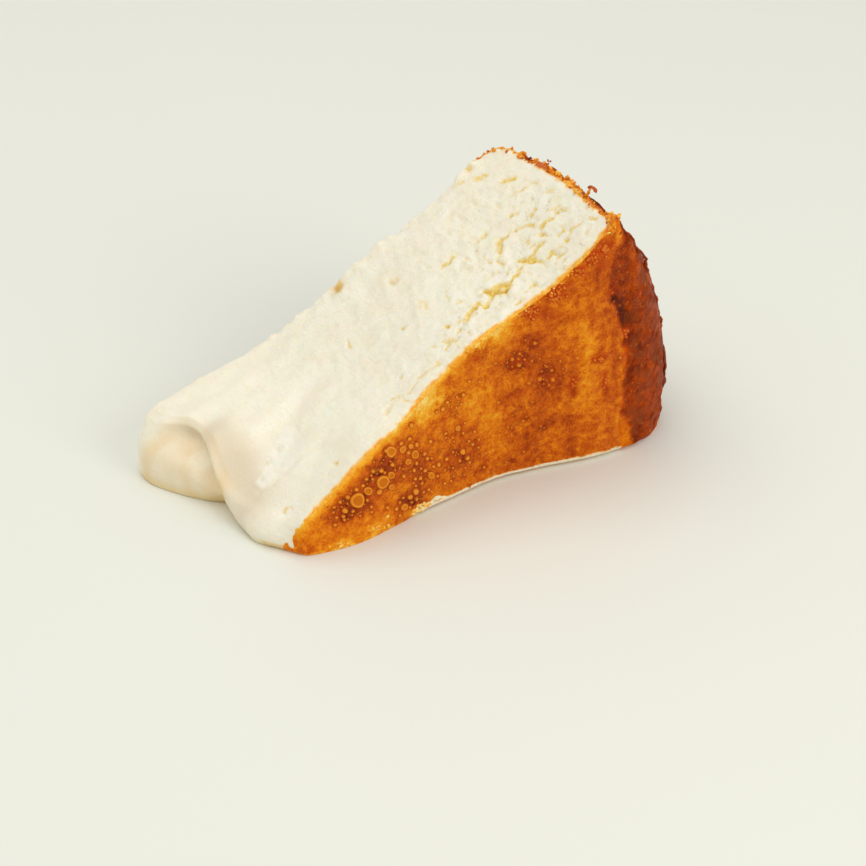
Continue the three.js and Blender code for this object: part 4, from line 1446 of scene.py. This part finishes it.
def add_blisters(tree, offset):
    """The blisters of the front face, and the bumps of its reddish spots."""
    rng = np.random.default_rng(SEED + 1)
    lumps = [blister(tree, x, z, radius, rng) for x, z, radius in blister_places()] + red_bumps(tree, rng)
    points, faces, masks = join_lumps([lump for lump in lumps if lump])
    attach(make_object("blisters", (points + offset) * MM, faces, [blister_material()], masks))


def on_skin(tree, out, across, up, lift):
    """A point at a height over the skin, and the skin's normal there."""
    at = slice_points(np.array([out]), np.array([across]), np.array([up]))[0]
    near, normal, _, _ = tree.find_nearest(Vector(at))
    return np.array(near) + np.array(normal) * lift, np.array(normal)


def leaf(tree, half_width, half_thickness, stands, path):
    """A thin strip along a path on the rim, which lies on it or stands up from it, with pointed ends."""
    knots = np.array(path)
    steps, around = 6 * (len(knots) - 1), 10
    at = np.linspace(0, 1, steps + 1)
    across, up, lift = (np.interp(at, np.linspace(0, 1, len(knots)), knots[:, i]) for i in range(3))
    spots = [on_skin(tree, 1.0, a, u, h) for a, u, h in zip(across, up, lift)]
    middles = np.array([spot for spot, _ in spots])
    normals = np.array([normal for _, normal in spots])
    ahead = np.gradient(middles, axis=0)
    ahead /= np.linalg.norm(ahead, axis=1, keepdims=True)
    sideways = np.cross(ahead, normals)
    sideways /= np.linalg.norm(sideways, axis=1, keepdims=True)
    wide, thin = (normals, sideways) if stands else (sideways, normals)
    taper = np.sqrt(np.clip(1 - (2 * at - 1) ** 6, 0.03, 1)) * (1 + 0.18 * np.sin(17 * at + across * 40))
    points = []
    for i in range(steps + 1):
        for j in range(around):
            angle = 2 * pi * j / around
            reach = half_width * taper[i] * cos(angle) * wide[i]
            points.append(middles[i] + (reach + half_thickness * taper[i] * sin(angle) * thin[i]))
    points += [middles[0], middles[-1]]
    return np.array(points), tube(len(points) - 2, 0, steps + 1, around, len(points) - 1)


def skin_crumbs(rng):
    """Where crumbs lie on the skin: share across, share up, share out, size, toast, lift."""
    for across, spread, count in CRUMB_CLUSTERS:  # the rim's edge of the upper cut face
        for _ in range(count):
            place = np.clip(across + spread * rng.normal(0, 0.6), 0.01, 0.99)
            size = 0.2 + 0.5 * rng.random() ** 3
            toast, lift = rng.uniform(0.15, 0.62), rng.uniform(-0.3, 0.4) * size
            yield place, 1 - 0.02 * rng.random(), 1 - 0.014 * rng.random(), size, toast, lift
    for across, lift, radius, toast in CLUMPS:
        for _ in range(CRUMBS_IN_CLUMP):
            size = radius * rng.uniform(0.3, 0.7)
            place = across + 0.011 * radius * rng.normal()
            height = lift * rng.uniform(0.6, 1) + 0.3 * radius * rng.normal()
            shade = toast + rng.uniform(-0.2, 0.08)
            yield place, 1 - 0.008 * rng.random(), 1 - 0.006 * rng.random(), size, shade, height
    for _ in range(YELLOW_BITS):  # along the front edge
        out = rng.uniform(0.5, 0.95)
        yield 0.0, rng.uniform(0.975, 1), out, 0.15 + 0.2 * rng.random(), rng.uniform(0.15, 0.35), 0.0
    for _ in range(RIM_GRAINS):
        size = 0.2 + 0.35 * rng.random() ** 2
        place = rng.uniform(0.02, 0.95) ** 1.5
        yield place, rng.uniform(0.05, 0.97), 1.0, size, rng.uniform(0.62, 0.84), -0.2 * size


def foam_bits(rng):
    """Bits of cream at the foot of the front face: x, z, radius, how long, toast."""
    bits = list(FOAM_BITS)
    for x, z, wide, high, count, toast in FOAM_PATCHES:
        for _ in range(count):
            place = (x + wide * rng.normal(0, 0.6), max(z + high * rng.normal(0, 0.7), 0.3))
            radius, squash = rng.uniform(0.25, 0.5), rng.uniform(0.9, 1.3)
            bits.append((*place, radius, squash, toast + rng.uniform(-0.08, 0.2)))
    return bits


def crumb_lumps(tree):
    """Crumbs on the skin, bits of cream at the foot, and leaves of burnt skin."""
    rng = np.random.default_rng(SEED + 2)
    lumps = []
    for across, up, out, size, toast, lift in skin_crumbs(rng):
        centre, _ = on_skin(tree, out, across, up, lift)
        lumps.append((*crumb(rng, centre, size), {"toast": toast}))
    for x, z, size, squash, toast in foam_bits(rng):
        depth = front_depth(tree, x, z)
        if depth is None:
            continue
        points, faces = crumb(rng, np.zeros(3), 1.0)
        points = points * np.array([size * squash, size * 0.6, size])
        lumps.append((points + np.array([x, depth, z]), faces, {"toast": toast}))
    for half_width, half_thickness, toast, stands, path in LEAVES:
        lumps.append((*leaf(tree, half_width, half_thickness, stands, path), {"toast": toast}))
    return lumps


def add_crumbs(tree, offset):
    """Crumbs, bits of cream and leaves of burnt skin, all kept above the ground."""
    points, faces, masks = join_lumps(crumb_lumps(tree))
    points[:, 2] = np.maximum(points[:, 2], 0.02)
    attach(make_object("crumbs", (points + offset) * MM, faces, [crumb_material()], masks))


# ==== Stage ====


def add_floor():
    """A wide square under the slice."""
    mesh = bpy.data.meshes.new("floor")
    corners = [(-1, -1), (1, -1), (1, 1), (-1, 1)]
    mesh.from_pydata([(FLOOR_HALF * x, FLOOR_HALF * y, 0) for x, y in corners], [], [(0, 1, 2, 3)])
    mesh.materials.append(floor_material())
    floor = place_object("floor", mesh)


def add_lights():
    """A pale sky, and two round lamps."""
    world = bpy.data.worlds.new("studio")
    world.use_nodes = True
    background = world.node_tree.nodes["Background"]
    background.inputs["Color"].default_value = SKY_COLOUR
    background.inputs["Strength"].default_value = SKY_STRENGTH
    bpy.context.scene.world = world
    for name, place, aim, size, power in LIGHTS:
        data = bpy.data.lights.new(name, "AREA")
        data.shape = "DISK"
        data.size = size
        data.energy = power
        data.color = LIGHT_COLOUR
        light = place_object(name, data)
        light.location = place
        light.rotation_euler = (Vector(aim) - Vector(place)).to_track_quat("-Z", "Y").to_euler()


def add_camera(offset):
    """The photo's view."""
    level = cos(VIEW_ELEVATION)
    toward_camera = Vector((sin(VIEW_AZIMUTH) * level, -cos(VIEW_AZIMUTH) * level, sin(VIEW_ELEVATION)))
    target = Vector((np.array(VIEW_TARGET) + offset) * MM)
    data = bpy.data.cameras.new("camera")
    data.sensor_width = SENSOR
    data.lens = SENSOR * FOCAL_PIXELS / FRAME_PIXELS
    data.clip_start = 0.01
    camera = place_object("camera", data)
    camera.location = target + toward_camera * VIEW_DISTANCE * MM
    camera.rotation_euler = (-toward_camera).to_track_quat("-Z", "Y").to_euler()
    bpy.context.scene.camera = camera


def main():
    """Builds the slice and its stage."""
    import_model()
    skin = Skin()
    smooth_low = slice_points(*skin.shares.T).min(0)
    cad_low = np.array(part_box(NODE)[0]) / MM
    offset = np.array([cad_low[0] - smooth_low[0], cad_low[1] - smooth_low[1], 0.0])

    add_slice(skin, offset)
    tree = surface_of(skin)
    add_blisters(tree, offset)
    add_crumbs(tree, offset)
    add_floor()
    add_lights()
    add_camera(offset)
    bpy.context.scene.view_settings.view_transform = "Standard"


main()
